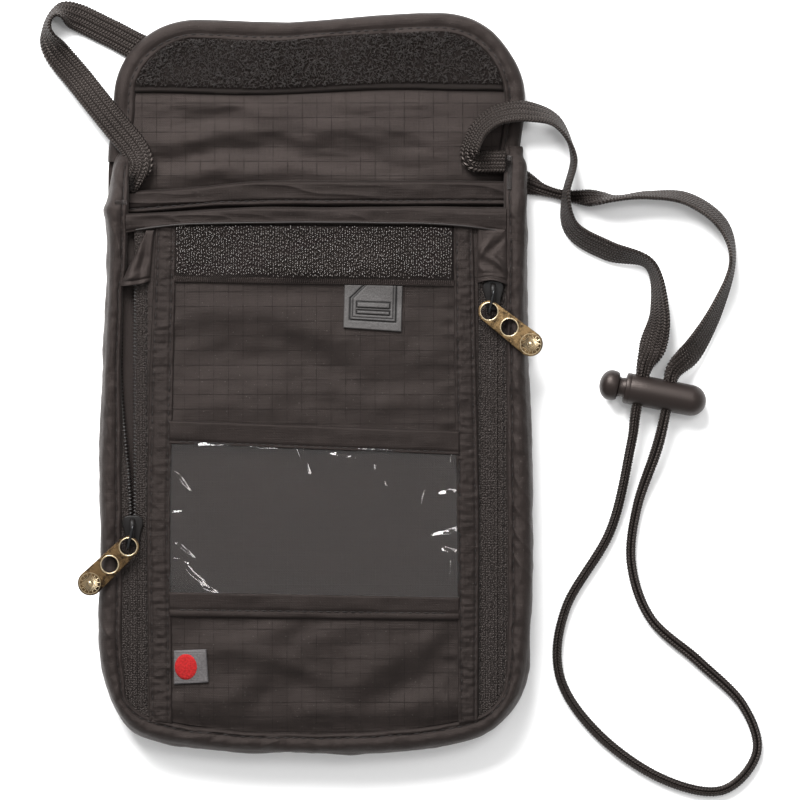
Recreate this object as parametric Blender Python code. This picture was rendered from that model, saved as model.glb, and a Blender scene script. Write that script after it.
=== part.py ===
"""A neck pouch wallet, lying on its back with its flap opened out, as separate sewn and moulded parts.

The front is up: +X is to the right as the front is looked down on, +Y runs from the bottom of the
pouch towards its opened flap, and +Z rises out of the front. The origin is the middle of the back.
"""

import math

import bmesh
import bpy
from mathutils import Matrix, Vector

MM = 0.001

# Body, in plan.
BODY_HALF_BOTTOM = 69.0 * MM
BODY_HALF_TOP = 67.0 * MM
BODY_BOTTOM = -90.2 * MM
BODY_TOP = 99.7 * MM
CORNER_RX = 44.0 * MM
CORNER_RY = 30.2 * MM
BACK_CUT_X = 37.0 * MM
BACK_CUT_Y = 13.0 * MM
WALL = 3.7 * MM
WALL_GAP = 0.4 * MM

# Heights of the layers, from the back up to the front.
BACK_PANEL_Z = (0.0, 0.8 * MM)
LINING_Z = (1.1 * MM, 1.6 * MM)
WALL_Z = (1.1 * MM, 13.6 * MM)
DIVIDER_Z = (6.1 * MM, 6.6 * MM)
DIVIDER_HEM_Z = (5.9 * MM, 7.0 * MM)
BACKING_Z = (11.3 * MM, 11.7 * MM)
COIL_Z = (12.8 * MM, 13.6 * MM)
TAPE_Z = (13.9 * MM, 14.3 * MM)
FRONT_Z = (13.9 * MM, 14.4 * MM)
FRONT_HEM_Z = (12.0 * MM, 15.0 * MM)
BINDING_Z = (14.6 * MM, 15.2 * MM)
TRIM_Z = (14.7 * MM, 15.2 * MM)
BAND_Z = (14.7 * MM, 15.4 * MM)
VINYL_Z = (15.0 * MM, 15.3 * MM)
HOOK_Z = (14.7 * MM, 15.6 * MM)
PATCH_Z = (14.7 * MM, 15.9 * MM)

# Front panel and what is sewn on it.
FRONT_HALF = 52.4 * MM
FRONT_BOTTOM = -78.3 * MM
FRONT_TOP = 78.9 * MM
HEM_HALF = 61.0 * MM
FRONT_HEM_Y = (79.2 * MM, 84.4 * MM)
DIVIDER_TOP = 82.6 * MM
DIVIDER_HEM_Y = (82.9 * MM, 91.5 * MM)
STRIP_X = (44.3 * MM, 52.3 * MM)
TRIM_HALF = 44.0 * MM
HOOK_Y = (59.3 * MM, 78.7 * MM)
PATCH_X = (9.6 * MM, 29.5 * MM)
PATCH_Y = (45.2 * MM, 59.0 * MM)
TOP_BAND_Y = (6.9 * MM, 15.0 * MM)
VINYL_Y = (-39.5 * MM, 6.6 * MM)
BOTTOM_BAND_Y = (-47.3 * MM, -39.8 * MM)
LABEL_X = (-43.9 * MM, -33.4 * MM)
LABEL_Y = (-68.7 * MM, -56.8 * MM)
BINDING_SIDE = 5.6 * MM
BINDING_BOTTOM = 11.0 * MM
BINDING_TOP = 84.0 * MM
BINDING_INNER_RADIUS = 14.3 * MM

# Side zips. The chain runs along Y at +-ZIP_X.
ZIP_X = 57.8 * MM
ZIP_GAP = 1.1 * MM
COIL_WIDTH = 1.3 * MM
COIL_Y = (-71.3 * MM, 75.0 * MM)
TAPE_Y = (-74.0 * MM, 76.0 * MM)
TAPE_REACH = 5.1 * MM
STOP_Y = (-73.0 * MM, -71.6 * MM)
STOP_HALF = 2.0 * MM
GARAGE_Y = (61.5 * MM, 78.8 * MM)
GARAGE_INWARD = 5.0 * MM
GARAGE_OUTWARD = 3.4 * MM
SLIDER_HALF = 3.2 * MM
SLIDER_AHEAD = 4.0 * MM
SLIDER_BEHIND = 5.5 * MM
SLIDER_BOTTOM_Z = (12.0 * MM, 12.5 * MM)
SLIDER_TOP_Z = (14.6 * MM, 15.2 * MM)
POST_HALF = 0.25 * MM
BAR_Z = 16.85 * MM
BAR_RADIUS = 0.4 * MM
EAR_X = (0.9 * MM, 1.5 * MM)
EAR_HALF_LENGTH = 0.8 * MM
LEFT_BAR_Y = -18.4 * MM
RIGHT_BAR_Y = 57.0 * MM
LINK_WIRE = 0.4 * MM
LINK_END_RADIUS = 1.0 * MM
LINK_LENGTH = 5.6 * MM
LINK_LEAN = math.radians(13.0)
PULL_HOLE_AT = 6.0 * MM
PULL_HALF_THICK = 0.45 * MM
PULL_NEAR_RADIUS = 3.5 * MM
PULL_FAR_RADIUS = 4.0 * MM
PULL_LENGTH = 16.8 * MM
PULL_HOLE_RADIUS = 2.75 * MM
PULL_SECOND_HOLE = 8.2 * MM
LEFT_PULL_TURN = math.radians(-136.4)
RIGHT_PULL_TURN = math.radians(-38.1)

# Flap, opened out flat. It turns about the fold axis.
FOLD_Y = 100.0 * MM
FOLD_Z = 11.3 * MM
FLAP_HALF = 66.3 * MM
FLAP_START = 100.3 * MM
FLAP_TOP = 145.8 * MM
FLAP_RX = 28.0 * MM
FLAP_RY = 26.0 * MM
FLAP_BINDING = 6.0 * MM
FLAP_SHELL_Z = (2.4 * MM, 2.9 * MM)
FLAP_LINING_Z = (3.2 * MM, 3.6 * MM)
FLAP_BINDING_Z = (3.2 * MM, 4.0 * MM)
LOOP_Z = (3.9 * MM, 4.8 * MM)
LOOP_INSET = 6.6 * MM
LOOP_BOTTOM = 121.5 * MM

# Strap and the two tabs that hold its ends.
STRAP_HALF_WIDTH = 4.6 * MM
STRAP_HALF_THICK = 0.9 * MM
STRAP_FLOOR = 0.1 * MM
STRAP_POINTS = 80
STRAP_BEND_WEIGHT = 20.0 * MM
ANCHOR_X = (56.0 * MM, 63.0 * MM)
ANCHOR_Y = (92.2 * MM, 99.4 * MM)
ANCHOR_Z = (6.7 * MM, 8.4 * MM)

# Cord lock, along its own +X from the mouth of the barrel.
LOCK_MOUTH = Vector((100.4 * MM, 26.8 * MM, 5.05 * MM))
LOCK_TURN = math.radians(-11.0)
BARREL_RADIUS = 5.0 * MM
BARREL_LENGTH = 26.6 * MM
BORE_RADIUS = 3.75 * MM
BORE_DEPTH = 24.0 * MM
CORD_HOLES = (4.9 * MM, 14.3 * MM)
CORD_HOLE_HALF_LENGTH = 2.1 * MM
CORD_HOLE_HALF_HEIGHT = 2.3 * MM
PLUNGER_RADIUS = 3.45 * MM
PLUNGER_TRAVEL = 2.0 * MM
NECK = 2.2 * MM
HEAD_RADIUS = 4.9 * MM
HEAD_LENGTH = 6.1 * MM
PLUNGER_END = 18.5 * MM
SPRING_RADIUS = 2.3 * MM
SPRING_WIRE = 0.35 * MM
SPRING_TURNS = 4
SPRING_X = (19.2 * MM, 23.3 * MM)

ARC_STEPS = 10


def clear_scene():
    for obj in list(bpy.data.objects):
        bpy.data.objects.remove(obj, do_unlink=True)


def material(name, colour, roughness, metallic=0.0, alpha=1.0):
    made = bpy.data.materials.new(name)
    made.use_nodes = True
    shader = made.node_tree.nodes["Principled BSDF"]
    shader.inputs["Base Color"].default_value = (*colour, 1.0)
    shader.inputs["Roughness"].default_value = roughness
    shader.inputs["Metallic"].default_value = metallic
    shader.inputs["Alpha"].default_value = alpha
    return made


def link_object(name, data, surface, origin=(0.0, 0.0, 0.0), parent=None):
    """Adds an object whose world position is origin, whatever it is parented to."""
    obj = bpy.data.objects.new(name, data)
    bpy.context.scene.collection.objects.link(obj)
    if surface is not None:
        data.materials.append(surface)
    obj.location = Vector(origin)
    if parent is not None:
        bpy.context.view_layer.update()
        obj.parent = parent
        obj.matrix_parent_inverse = parent.matrix_world.inverted()
    return obj


def empty_at(name, place, turn=0.0, parent=None):
    made = link_object(name, None, None, place, parent)
    made.rotation_euler = (0.0, 0.0, turn)
    bpy.context.view_layer.update()
    return made


def mesh_object(name, bm, surface, origin=(0.0, 0.0, 0.0), parent=None, smooth=None):
    bm.normal_update()
    bmesh.ops.recalc_face_normals(bm, faces=bm.faces)
    mesh = bpy.data.meshes.new(name)
    bm.to_mesh(mesh)
    bm.free()
    if smooth is not None:
        mesh.shade_smooth()
        mesh.set_sharp_from_angle(angle=smooth)
    return link_object(name, mesh, surface, origin, parent)


def prism(outline, low, high, origin=(0.0, 0.0, 0.0)):
    """A bmesh of the outline, given as (x, y) points, raised from z = low to z = high."""
    bm = bmesh.new()
    shift = Vector(origin)
    verts = [bm.verts.new(Vector((x, y, low)) - shift) for x, y in outline]
    base = bm.faces.new(verts)
    raised = bmesh.ops.extrude_face_region(bm, geom=[base])
    moved = [item for item in raised["geom"] if isinstance(item, bmesh.types.BMVert)]
    bmesh.ops.translate(bm, verts=moved, vec=(0.0, 0.0, high - low))
    return bm


def slab(name, outline, heights, surface, origin=(0.0, 0.0, 0.0), parent=None):
    bm = prism(outline, heights[0], heights[1], origin)
    return mesh_object(name, bm, surface, origin, parent)


def rectangle(x_range, y_range):
    (x0, x1), (y0, y1) = x_range, y_range
    return [(x0, y0), (x1, y0), (x1, y1), (x0, y1)]


def arc(cx, cy, rx, ry, start, end, steps=ARC_STEPS):
    """Points on an ellipse between two angles in degrees, both ends included."""
    angles = [math.radians(start + (end - start) * i / steps) for i in range(steps + 1)]
    return [(cx + rx * math.cos(a), cy + ry * math.sin(a)) for a in angles]


def mirrored(points):
    return [(-x, y) for x, y in reversed(points)]


def side_x(y, inset=0.0):
    """How far the body's side stands from its middle at height y, above the bottom corners."""
    start = BODY_BOTTOM + CORNER_RY
    share = max(0.0, (y - start) / (BODY_TOP - start))
    return BODY_HALF_BOTTOM + (BODY_HALF_TOP - BODY_HALF_BOTTOM) * share - inset


def bottom_corner(side_inset, bottom_inset):
    """The right bottom corner, from the middle of the bottom round to the side."""
    cx = BODY_HALF_BOTTOM - CORNER_RX
    cy = BODY_BOTTOM + CORNER_RY
    return arc(cx, cy, CORNER_RX - side_inset, CORNER_RY - bottom_inset, -90.0, 0.0)


def body_outline(inset, top, cut=False):
    right = bottom_corner(inset, inset)
    if cut:
        right += [(side_x(top, inset), top - BACK_CUT_Y), (side_x(top, inset) - BACK_CUT_X, top)]
    else:
        right += [(side_x(top, inset), top)]
    return mirrored(right) + right


def band_outline(outer, inner):
    """A U-shaped band between two right-hand half outlines."""
    return mirrored(outer) + outer + list(reversed(inner)) + list(reversed(mirrored(inner)))


def flap_half(inset, start):
    cx = FLAP_HALF - FLAP_RX
    cy = FLAP_TOP - FLAP_RY
    corner = arc(cx, cy, FLAP_RX - inset, FLAP_RY - inset, 0.0, 90.0)
    return [(FLAP_HALF - inset, start)] + corner


def closed_flap(inset, start):
    """The whole outline of a flap layer, from its fold up round its two corners."""
    right = flap_half(inset, start)
    return right + mirrored(right)


def clipped_flap(inset, low):
    """The part of a flap layer above y = low, where low lies on its straight or rounded sides."""
    cy = FLAP_TOP - FLAP_RY
    if low <= cy:
        return closed_flap(inset, low)
    start = math.degrees(math.asin((low - cy) / (FLAP_RY - inset)))
    right = arc(FLAP_HALF - FLAP_RX, cy, FLAP_RX - inset, FLAP_RY - inset, start, 90.0)
    return right + mirrored(right)


def build_back(cloth, lining):
    slab("back_panel", body_outline(0.0, BODY_TOP, cut=True), BACK_PANEL_Z, cloth)
    slab("back_lining", body_outline(WALL + WALL_GAP, BODY_TOP, cut=True), LINING_Z, lining)


def build_walls(cloth):
    """The side gussets slope down towards the fold, and leave room below them for the strap."""
    low, high = WALL_Z
    corner_y = BODY_BOTTOM + CORNER_RY
    slope_start = FRONT_HEM_Y[1]
    strap_room = BACK_CUT_Y + 3.0 * MM
    profile = [
        (corner_y + 0.3 * MM, low),
        (BODY_TOP - strap_room, low),
        (BODY_TOP - strap_room, 2.4 * MM),
        (BODY_TOP, 2.4 * MM),
        (BODY_TOP, 6.0 * MM),
        (slope_start, high),
        (corner_y + 0.3 * MM, high),
    ]
    for side, name in ((-1, "left_gusset"), (1, "right_gusset")):
        bm = bmesh.new()
        outer = [bm.verts.new((side * side_x(y), y, z)) for y, z in profile]
        inner = [bm.verts.new((side * side_x(y, WALL), y, z)) for y, z in profile]
        bm.faces.new(outer)
        bm.faces.new(list(reversed(inner)))
        for i in range(len(profile)):
            j = (i + 1) % len(profile)
            bm.faces.new((outer[i], inner[i], inner[j], outer[j]))
        mesh_object(name, bm, cloth)
    wall = band_outline(bottom_corner(0.0, 0.0), bottom_corner(WALL, WALL))
    slab("bottom_gusset", wall, WALL_Z, cloth)
    outer = bottom_corner(0.0, 0.0) + [(side_x(BINDING_TOP), BINDING_TOP)]
    radius = BINDING_INNER_RADIUS
    cx = BODY_HALF_BOTTOM - BINDING_SIDE - radius
    inner = arc(cx, BODY_BOTTOM + BINDING_BOTTOM + radius, radius, radius, -90.0, 0.0)
    inner.append((side_x(BINDING_TOP, BINDING_SIDE), BINDING_TOP))
    slab("edge_binding", band_outline(outer, inner), BINDING_Z, cloth)


def build_pockets(lining, cloth):
    inner = WALL + WALL_GAP
    slab("pocket_divider", body_outline(inner, DIVIDER_TOP), DIVIDER_Z, lining)
    slab("divider_hem", rectangle((-HEM_HALF, HEM_HALF), DIVIDER_HEM_Y), DIVIDER_HEM_Z, cloth)
    slab("zip_pocket_backing", body_outline(inner, FRONT_TOP), BACKING_Z, lining)
    slab("front_hem", rectangle((-HEM_HALF, HEM_HALF), FRONT_HEM_Y), FRONT_HEM_Z, cloth)


def build_front(cloth, hem, hook, rubber, label, vinyl):
    slab("front_panel", rectangle((-FRONT_HALF, FRONT_HALF), (FRONT_BOTTOM, FRONT_TOP)), FRONT_Z, cloth)
    for side, name in ((-1, "left_strip"), (1, "right_strip")):
        across = sorted(side * x for x in STRIP_X)
        slab(name, rectangle(across, (FRONT_BOTTOM, FRONT_TOP)), TRIM_Z, hem)
    across = (-TRIM_HALF, TRIM_HALF)
    slab("front_hook_strip", rectangle(across, HOOK_Y), HOOK_Z, hook)
    slab("rubber_patch", rectangle(PATCH_X, PATCH_Y), PATCH_Z, rubber)
    slab("window_top_band", rectangle(across, TOP_BAND_Y), BAND_Z, hem)
    slab("window_vinyl", rectangle(across, VINYL_Y), VINYL_Z, vinyl)
    slab("window_bottom_band", rectangle(across, BOTTOM_BAND_Y), BAND_Z, hem)
    slab("side_label", rectangle(LABEL_X, LABEL_Y), TRIM_Z, label)


def cylinder_between(start, end, radius, sides=12):
    """A bmesh cylinder from one point to another."""
    bm = bmesh.new()
    along = Vector(end) - Vector(start)
    size = {"radius1": radius, "radius2": radius, "depth": along.length}
    bmesh.ops.create_cone(bm, cap_ends=True, segments=sides, **size)
    turn = along.to_track_quat("Z", "Y").to_matrix().to_4x4()
    turn.translation = (Vector(start) + Vector(end)) / 2
    bm.transform(turn)
    return bm


def cutter(name, bm, parent=None):
    made = mesh_object(name, bm, None, parent=parent)
    made.hide_render = True
    made.display_type = "WIRE"
    return made


def apply_boolean(obj, other, operation):
    modifier = obj.modifiers.new(operation.title(), "BOOLEAN")
    modifier.operation = operation
    modifier.object = other
    modifier.solver = "EXACT"


def slider_profile():
    """The slider's section across the chain: two wings joined by a thin post."""
    low0, low1 = SLIDER_BOTTOM_Z
    top0, top1 = SLIDER_TOP_Z
    right = [(SLIDER_HALF, low0), (SLIDER_HALF, low1), (POST_HALF, low1)]
    right += [(POST_HALF, top0), (SLIDER_HALF, top0), (SLIDER_HALF, top1)]
    return right + mirrored(right)


def build_slider(name, bar, metal, parent):
    """Its origin is on the bar that the link hangs from."""
    bm = bmesh.new()
    ends = (-SLIDER_BEHIND, SLIDER_AHEAD)
    rings = []
    for end in ends:
        rings.append([bm.verts.new((x, end, z - BAR_Z)) for x, z in slider_profile()])
    bm.faces.new(rings[0])
    bm.faces.new(list(reversed(rings[1])))
    count = len(rings[0])
    for i in range(count):
        j = (i + 1) % count
        bm.faces.new((rings[0][i], rings[1][i], rings[1][j], rings[0][j]))
    corners = [
        edge
        for edge in bm.edges
        if abs(edge.verts[0].co.x - edge.verts[1].co.x) < MM / 100
        and abs(edge.verts[0].co.y - edge.verts[1].co.y) < MM / 100
        and abs(abs(edge.verts[0].co.x) - SLIDER_HALF) < MM / 100
    ]
    bmesh.ops.bevel(bm, geom=corners, offset=1.6 * MM, segments=4, profile=0.5, affect="EDGES")
    slider = mesh_object(name, bm, metal, bar, parent)
    base = SLIDER_TOP_Z[1] - 0.2 * MM - BAR_Z
    for side in (-1, 1):
        low, high = sorted(side * x for x in EAR_X)
        ear = prism(
            rectangle((low, high), (-EAR_HALF_LENGTH, EAR_HALF_LENGTH)), base, BAR_RADIUS + 0.2 * MM
        )
        other = cutter(f"{name}_ear_{'left' if side < 0 else 'right'}", ear, parent=slider)
        other.location = (0.0, 0.0, 0.0)
        other.matrix_parent_inverse.identity()
        apply_boolean(slider, other, "UNION")
    reach = EAR_X[1] - 0.1 * MM
    rod = cylinder_between((-reach, 0.0, 0.0), (reach, 0.0, 0.0), BAR_RADIUS)
    other = cutter(f"{name}_bar", rod, parent=slider)
    other.location = (0.0, 0.0, 0.0)
    other.matrix_parent_inverse.identity()
    apply_boolean(slider, other, "UNION")
    return slider


def tube_curve(name, points, radius, resolution, surface, cyclic, origin, parent):
    curve = bpy.data.curves.new(name, "CURVE")
    curve.dimensions = "3D"
    curve.bevel_depth = radius
    curve.bevel_resolution = resolution
    curve.use_fill_caps = not cyclic
    spline = curve.splines.new("POLY")
    spline.points.add(len(points) - 1)
    for point, place in zip(spline.points, points):
        point.co = (*place, 1.0)
    spline.use_cyclic_u = cyclic
    spline.use_smooth = True
    return link_object(name, curve, surface, origin, parent)


def build_link(name, bar, metal, parent):
    """A long ring standing on edge, hung on the slider's bar and leaning a little sideways."""
    points = [(y, z) for y, z in arc(0.0, 0.0, LINK_END_RADIUS, LINK_END_RADIUS, -90.0, 90.0)]
    points += arc(-LINK_LENGTH, 0.0, LINK_END_RADIUS, LINK_END_RADIUS, 90.0, 270.0)
    lean = Vector((math.sin(LINK_LEAN), math.cos(LINK_LEAN)))
    route = [(y * lean.x, y * lean.y, z) for y, z in points]
    return tube_curve(name, route, LINK_WIRE, 2, metal, True, bar, parent)


def build_pull(name, hole, turn, metal, parent):
    """A tapered brass tab with two holes. Its origin is the middle of the hole that the link hooks."""
    taper = math.degrees(math.asin((PULL_FAR_RADIUS - PULL_NEAR_RADIUS) / PULL_LENGTH))
    outline = arc(0.0, 0.0, PULL_NEAR_RADIUS, PULL_NEAR_RADIUS, 90.0 + taper, 270.0 - taper, 14)
    outline += arc(PULL_LENGTH, 0.0, PULL_FAR_RADIUS, PULL_FAR_RADIUS, taper - 90.0, 90.0 - taper, 14)
    bm = prism(outline, -PULL_HALF_THICK, PULL_HALF_THICK)
    pull = mesh_object(name, bm, metal, hole, parent)
    pull.rotation_euler = (0.0, 0.0, turn)
    for number, along in enumerate((0.0, PULL_SECOND_HOLE)):
        reach = 3.0 * PULL_HALF_THICK
        drill = cylinder_between((along, 0.0, -reach), (along, 0.0, reach), PULL_HOLE_RADIUS, 28)
        other = cutter(f"{name}_hole_{number}", drill, parent=pull)
        other.location = (0.0, 0.0, 0.0)
        other.matrix_parent_inverse.identity()
        apply_boolean(pull, other, "DIFFERENCE")
    return pull


def build_zip(side, name, bar_y, pull_turn, tape, coil, gun, brass, cloth, metal):
    """One side zip: tapes, coils, stop and garage on the body, then slider, link and pull."""
    centre = side * ZIP_X
    for inward, half in ((-side, "inner"), (side, "outer")):
        near = centre + inward * ZIP_GAP / 2
        across = sorted((near, centre + inward * TAPE_REACH))
        slab(f"{name}_zip_{half}_tape", rectangle(across, TAPE_Y), TAPE_Z, tape)
        across = sorted((near, near + inward * COIL_WIDTH))
        slab(f"{name}_zip_{half}_coil", rectangle(across, COIL_Y), COIL_Z, coil)
    stop = (centre - STOP_HALF, centre + STOP_HALF)
    slab(f"{name}_zip_bottom_stop", rectangle(stop, STOP_Y), COIL_Z, metal)
    inner, outer = centre - side * GARAGE_INWARD, centre + side * GARAGE_OUTWARD
    low, high = GARAGE_Y
    fold = [(inner, low), (inner, high), (outer, high), (outer, low + 3.0 * MM)]
    slab(f"{name}_zip_garage", fold if side < 0 else list(reversed(fold)), TRIM_Z, cloth)
    bar = Vector((centre, bar_y, BAR_Z))
    slider = build_slider(f"{name}_slider", bar, gun, None)
    bpy.context.view_layer.update()
    link = build_link(f"{name}_pull_link", bar, gun, slider)
    bpy.context.view_layer.update()
    lean = Vector((-math.sin(LINK_LEAN), -math.cos(LINK_LEAN), 0.0))
    build_pull(f"{name}_pull_tab", bar + lean * PULL_HOLE_AT, pull_turn, brass, link)


def build_flap(cloth, lining, loop):
    hinge = Vector((0.0, FOLD_Y, FOLD_Z))
    fold = empty_at("flap_fold", hinge)
    slab("flap_shell", closed_flap(0.0, FLAP_START), FLAP_SHELL_Z, cloth, hinge, fold)
    inset = FLAP_BINDING + 0.3 * MM
    slab("flap_lining", closed_flap(inset, FLAP_START), FLAP_LINING_Z, lining, hinge, fold)
    outer = flap_half(0.0, FLAP_START)
    inner = flap_half(FLAP_BINDING, FLAP_START)
    band = outer + mirrored(outer) + list(reversed(mirrored(inner))) + list(reversed(inner))
    slab("flap_binding", band, FLAP_BINDING_Z, cloth, hinge, fold)
    slab("flap_loop_strip", clipped_flap(LOOP_INSET, LOOP_BOTTOM), LOOP_Z, loop, hinge, fold)


def lock_point(along, across, height=0.0):
    """A point of the cord lock, from its place along and across the barrel."""
    c, s = math.cos(LOCK_TURN), math.sin(LOCK_TURN)
    return LOCK_MOUTH + Vector((along * c - across * s, along * s + across * c, height))


def lathe(name, profile, surface, parent, steps=28):
    """A body turned about local X from (x, radius) points that start and end on the axis."""
    bm = bmesh.new()
    verts = [bm.verts.new((x, 0.0, r)) for x, r in profile]
    edges = [bm.edges.new(pair) for pair in zip(verts, verts[1:])]
    bmesh.ops.spin(
        bm,
        geom=verts + edges,
        cent=(0.0, 0.0, 0.0),
        axis=(1.0, 0.0, 0.0),
        angle=2 * math.pi,
        steps=steps,
        use_merge=True,
    )
    bmesh.ops.remove_doubles(bm, verts=bm.verts, dist=MM / 1000)
    obj = mesh_object(name, bm, surface, smooth=math.radians(35.0))
    obj.parent = parent
    return obj


def cord_slot(name, low, high, parent):
    """An oval cutter that passes across the barrel, for the strap to run through."""
    middle, half = (low + high) / 2, (high - low) / 2
    oval = arc(middle, 0.0, half, CORD_HOLE_HALF_HEIGHT, 0.0, 360.0, 20)[:-1]
    reach = 2.0 * BARREL_RADIUS
    bm = prism(oval, -reach, reach)
    bm.transform(Matrix.Rotation(math.radians(90.0), 4, "X"))
    made = cutter(name, bm)
    made.parent = parent
    return made


def build_lock(plastic, steel):
    frame = empty_at("lock_frame", LOCK_MOUTH, LOCK_TURN)
    dome = arc(BARREL_LENGTH - BARREL_RADIUS, 0.0, BARREL_RADIUS, BARREL_RADIUS, 90.0, 0.0, 8)
    profile = [(BORE_DEPTH, 0.0), (BORE_DEPTH, BORE_RADIUS), (0.0, BORE_RADIUS)]
    profile += [(0.0, BARREL_RADIUS - 0.4 * MM), (0.4 * MM, BARREL_RADIUS)]
    profile += [(x, max(r, 0.0)) for x, r in dome]
    profile[-1] = (BARREL_LENGTH, 0.0)
    barrel = lathe("lock_barrel", profile, plastic, frame)
    ball = arc(-NECK - HEAD_LENGTH * 0.4, 0.0, HEAD_LENGTH * 0.6, HEAD_RADIUS, 180.0, 90.0, 8)
    profile = [(x, max(r, 0.0)) for x, r in ball]
    profile[0] = (-NECK - HEAD_LENGTH, 0.0)
    profile += [(-NECK - 0.4 * MM, HEAD_RADIUS - 0.5 * MM), (-NECK, HEAD_RADIUS - 1.1 * MM)]
    profile += [(-NECK, PLUNGER_RADIUS), (PLUNGER_END, PLUNGER_RADIUS), (PLUNGER_END, 0.0)]
    plunger = lathe("lock_plunger", profile, plastic, frame)
    for number, at in enumerate(CORD_HOLES):
        low, high = at - CORD_HOLE_HALF_LENGTH, at + CORD_HOLE_HALF_LENGTH
        apply_boolean(barrel, cord_slot(f"barrel_slot_{number}", low, high, frame), "DIFFERENCE")
        slot = cord_slot(f"plunger_slot_{number}", low - PLUNGER_TRAVEL, high, frame)
        apply_boolean(plunger, slot, "DIFFERENCE")
    low, high = SPRING_X
    steps = SPRING_TURNS * 12
    route = []
    for i in range(steps + 1):
        turn = 2 * math.pi * SPRING_TURNS * i / steps
        across = (SPRING_RADIUS * math.cos(turn), SPRING_RADIUS * math.sin(turn))
        route.append((low + (high - low) * i / steps, *across))
    spring = tube_curve("lock_spring", route, SPRING_WIRE, 1, steel, False, (0.0, 0.0, 0.0), None)
    spring.parent = frame


def strap_route():
    """Places (x, y and lift off the ground in mm, tilt in degrees, share of the full width) from the
    strap's left end to its right end, chosen by hand: up round the left corner, back under the open
    flap, out to the right, down through the lock, round the lower loop, and back through the lock."""
    in_lock = 4.6
    narrow = 0.37
    first, second = CORD_HOLES

    def at_hole(hole, across, lift, share):
        place = lock_point(hole, across * MM)
        return (place.x / MM, place.y / MM, lift, 0, share)

    route = [
        (-59.6, 100.6, 6.2, 0, 0.9),
        (-60.5, 106.5, 5.0, 0, 1),
        (-67.0, 114.3, 4.8, 0, 1),
        (-75.5, 126.0, 2.6, 0, 1),
        (-82.5, 135.5, 0, 20, 1),
        (-86.0, 142.5, 0, 75, 1),
        (-83.0, 147.6, 0, 75, 1),
        (-76.5, 146.4, 0, 20, 1),
        (-66.0, 141.3, 0, 0, 1),
        (-50.0, 133.9, 0, 0, 1),
        (-15.0, 121.6, 0, 0, 1),
        (25.0, 107.6, 0, 0, 1),
        (62.0, 94.6, 0, 0, 1),
        (74.5, 89.8, 0, 0, 0.6),
        (84.0, 88.0, 0, 0, 0.6),
        (96.0, 87.8, 0, 70, 1),
        (108.0, 88.6, 0, 78, 1),
        (120.5, 87.2, 0, 66, 1),
        (130.7, 79.0, 0, 62, 1),
        (134.6, 67.5, 0, 78, 1),
        (130.5, 53.0, 0, 66, 1),
        (122.5, 40.0, 0.5, 48, 1),
        at_hole(second, 8.0, in_lock, 0.5),
        at_hole(second, 0.0, in_lock, narrow),
        at_hole(second, -8.0, in_lock, narrow),
        at_hole(second, -18.0, 3.4, narrow),
        (104.6, -12.0, 0, 0, 0.5),
        (102.4, -30.0, 0, 0, 0.5),
        (109.2, -47.5, 0, 0, 0.5),
        (124.6, -61.7, 0, 0, 0.5),
        (139.0, -75.5, 0, 0, 0.5),
        (142.0, -91.0, 0, 0, 0.5),
        (131.5, -103.0, 0, 0, 0.5),
        (112.0, -98.5, 0, 0, 0.5),
        (91.5, -84.5, 0, 0, 0.5),
        (79.5, -66.0, 0, 0, 0.5),
        (80.8, -44.0, 0, 0, 0.5),
        (95.5, -19.0, 0, 0, 0.5),
        at_hole(first, -18.0, 3.4, narrow),
        at_hole(first, -8.0, in_lock, narrow),
        at_hole(first, 0.0, in_lock, narrow),
        at_hole(first, 8.0, in_lock, 0.5),
        (109.6, 40.5, 2.5, 15, 1),
        (111.9, 52.0, 0, 52, 1),
        (108.0, 66.0, 0, 66, 1),
        (95.0, 70.6, 0, 52, 1),
        (83.5, 77.5, 0.8, 60, 1),
        (81.3, 88.5, 2.4, 80, 1),
        (83.6, 101.0, 1.0, 75, 1),
        (79.5, 113.2, 1.5, 50, 1),
        (68.5, 118.6, 4.9, 25, 1),
        (55.5, 115.8, 5.2, 25, 1),
        (49.5, 105.5, 5.4, 60, 1),
        (49.4, 99.9, 6.0, 40, 0.8),
        (51.2, 97.2, 6.4, 10, 0.75),
        (54.6, 96.4, 6.6, 0, 0.75),
    ]
    return route


def smooth_route(route, per_span=24):
    """Points every so often on a Catmull-Rom curve through the route's points, of all five values."""
    ends = [route[0]] + list(route) + [route[-1]]
    fine = []
    for a, b, c, d in zip(ends, ends[1:], ends[2:], ends[3:]):
        for step in range(per_span):
            t = step / per_span
            fine.append(
                [
                    q
                    + 0.5 * (r - p) * t
                    + (p - 2.5 * q + 2 * r - 0.5 * s) * t**2
                    + (1.5 * q - 0.5 * p - 1.5 * r + 0.5 * s) * t**3
                    for p, q, r, s in zip(a, b, c, d)
                ]
            )
    return fine + [list(route[-1])]


def strap_places():
    """(place, tilt, share of width) along the strap, closer together where it bends."""
    places = []
    for x, y, lift, tilt, share in smooth_route(strap_route()):
        turn = math.radians(tilt)
        rise = STRAP_HALF_WIDTH * abs(math.sin(turn)) + STRAP_HALF_THICK * abs(math.cos(turn))
        height = STRAP_FLOOR + max(lift, 0.0) * MM + share * rise
        places.append((Vector((x * MM, y * MM, height)), turn, share))
    steps = [after[0] - before[0] for before, after in zip(places, places[1:])]
    run = [0.0, steps[0].length]
    for before, after in zip(steps, steps[1:]):
        run.append(run[-1] + after.length + STRAP_BEND_WEIGHT * before.angle(after))
    even, at = [], 0
    for number in range(STRAP_POINTS):
        want = run[-1] * number / (STRAP_POINTS - 1)
        while at < len(run) - 2 and run[at + 1] < want:
            at += 1
        share = (want - run[at]) / (run[at + 1] - run[at])
        before, after = places[at], places[at + 1]
        even.append(tuple(p + (q - p) * min(share, 1.0) for p, q in zip(before, after)))
    return even


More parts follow.
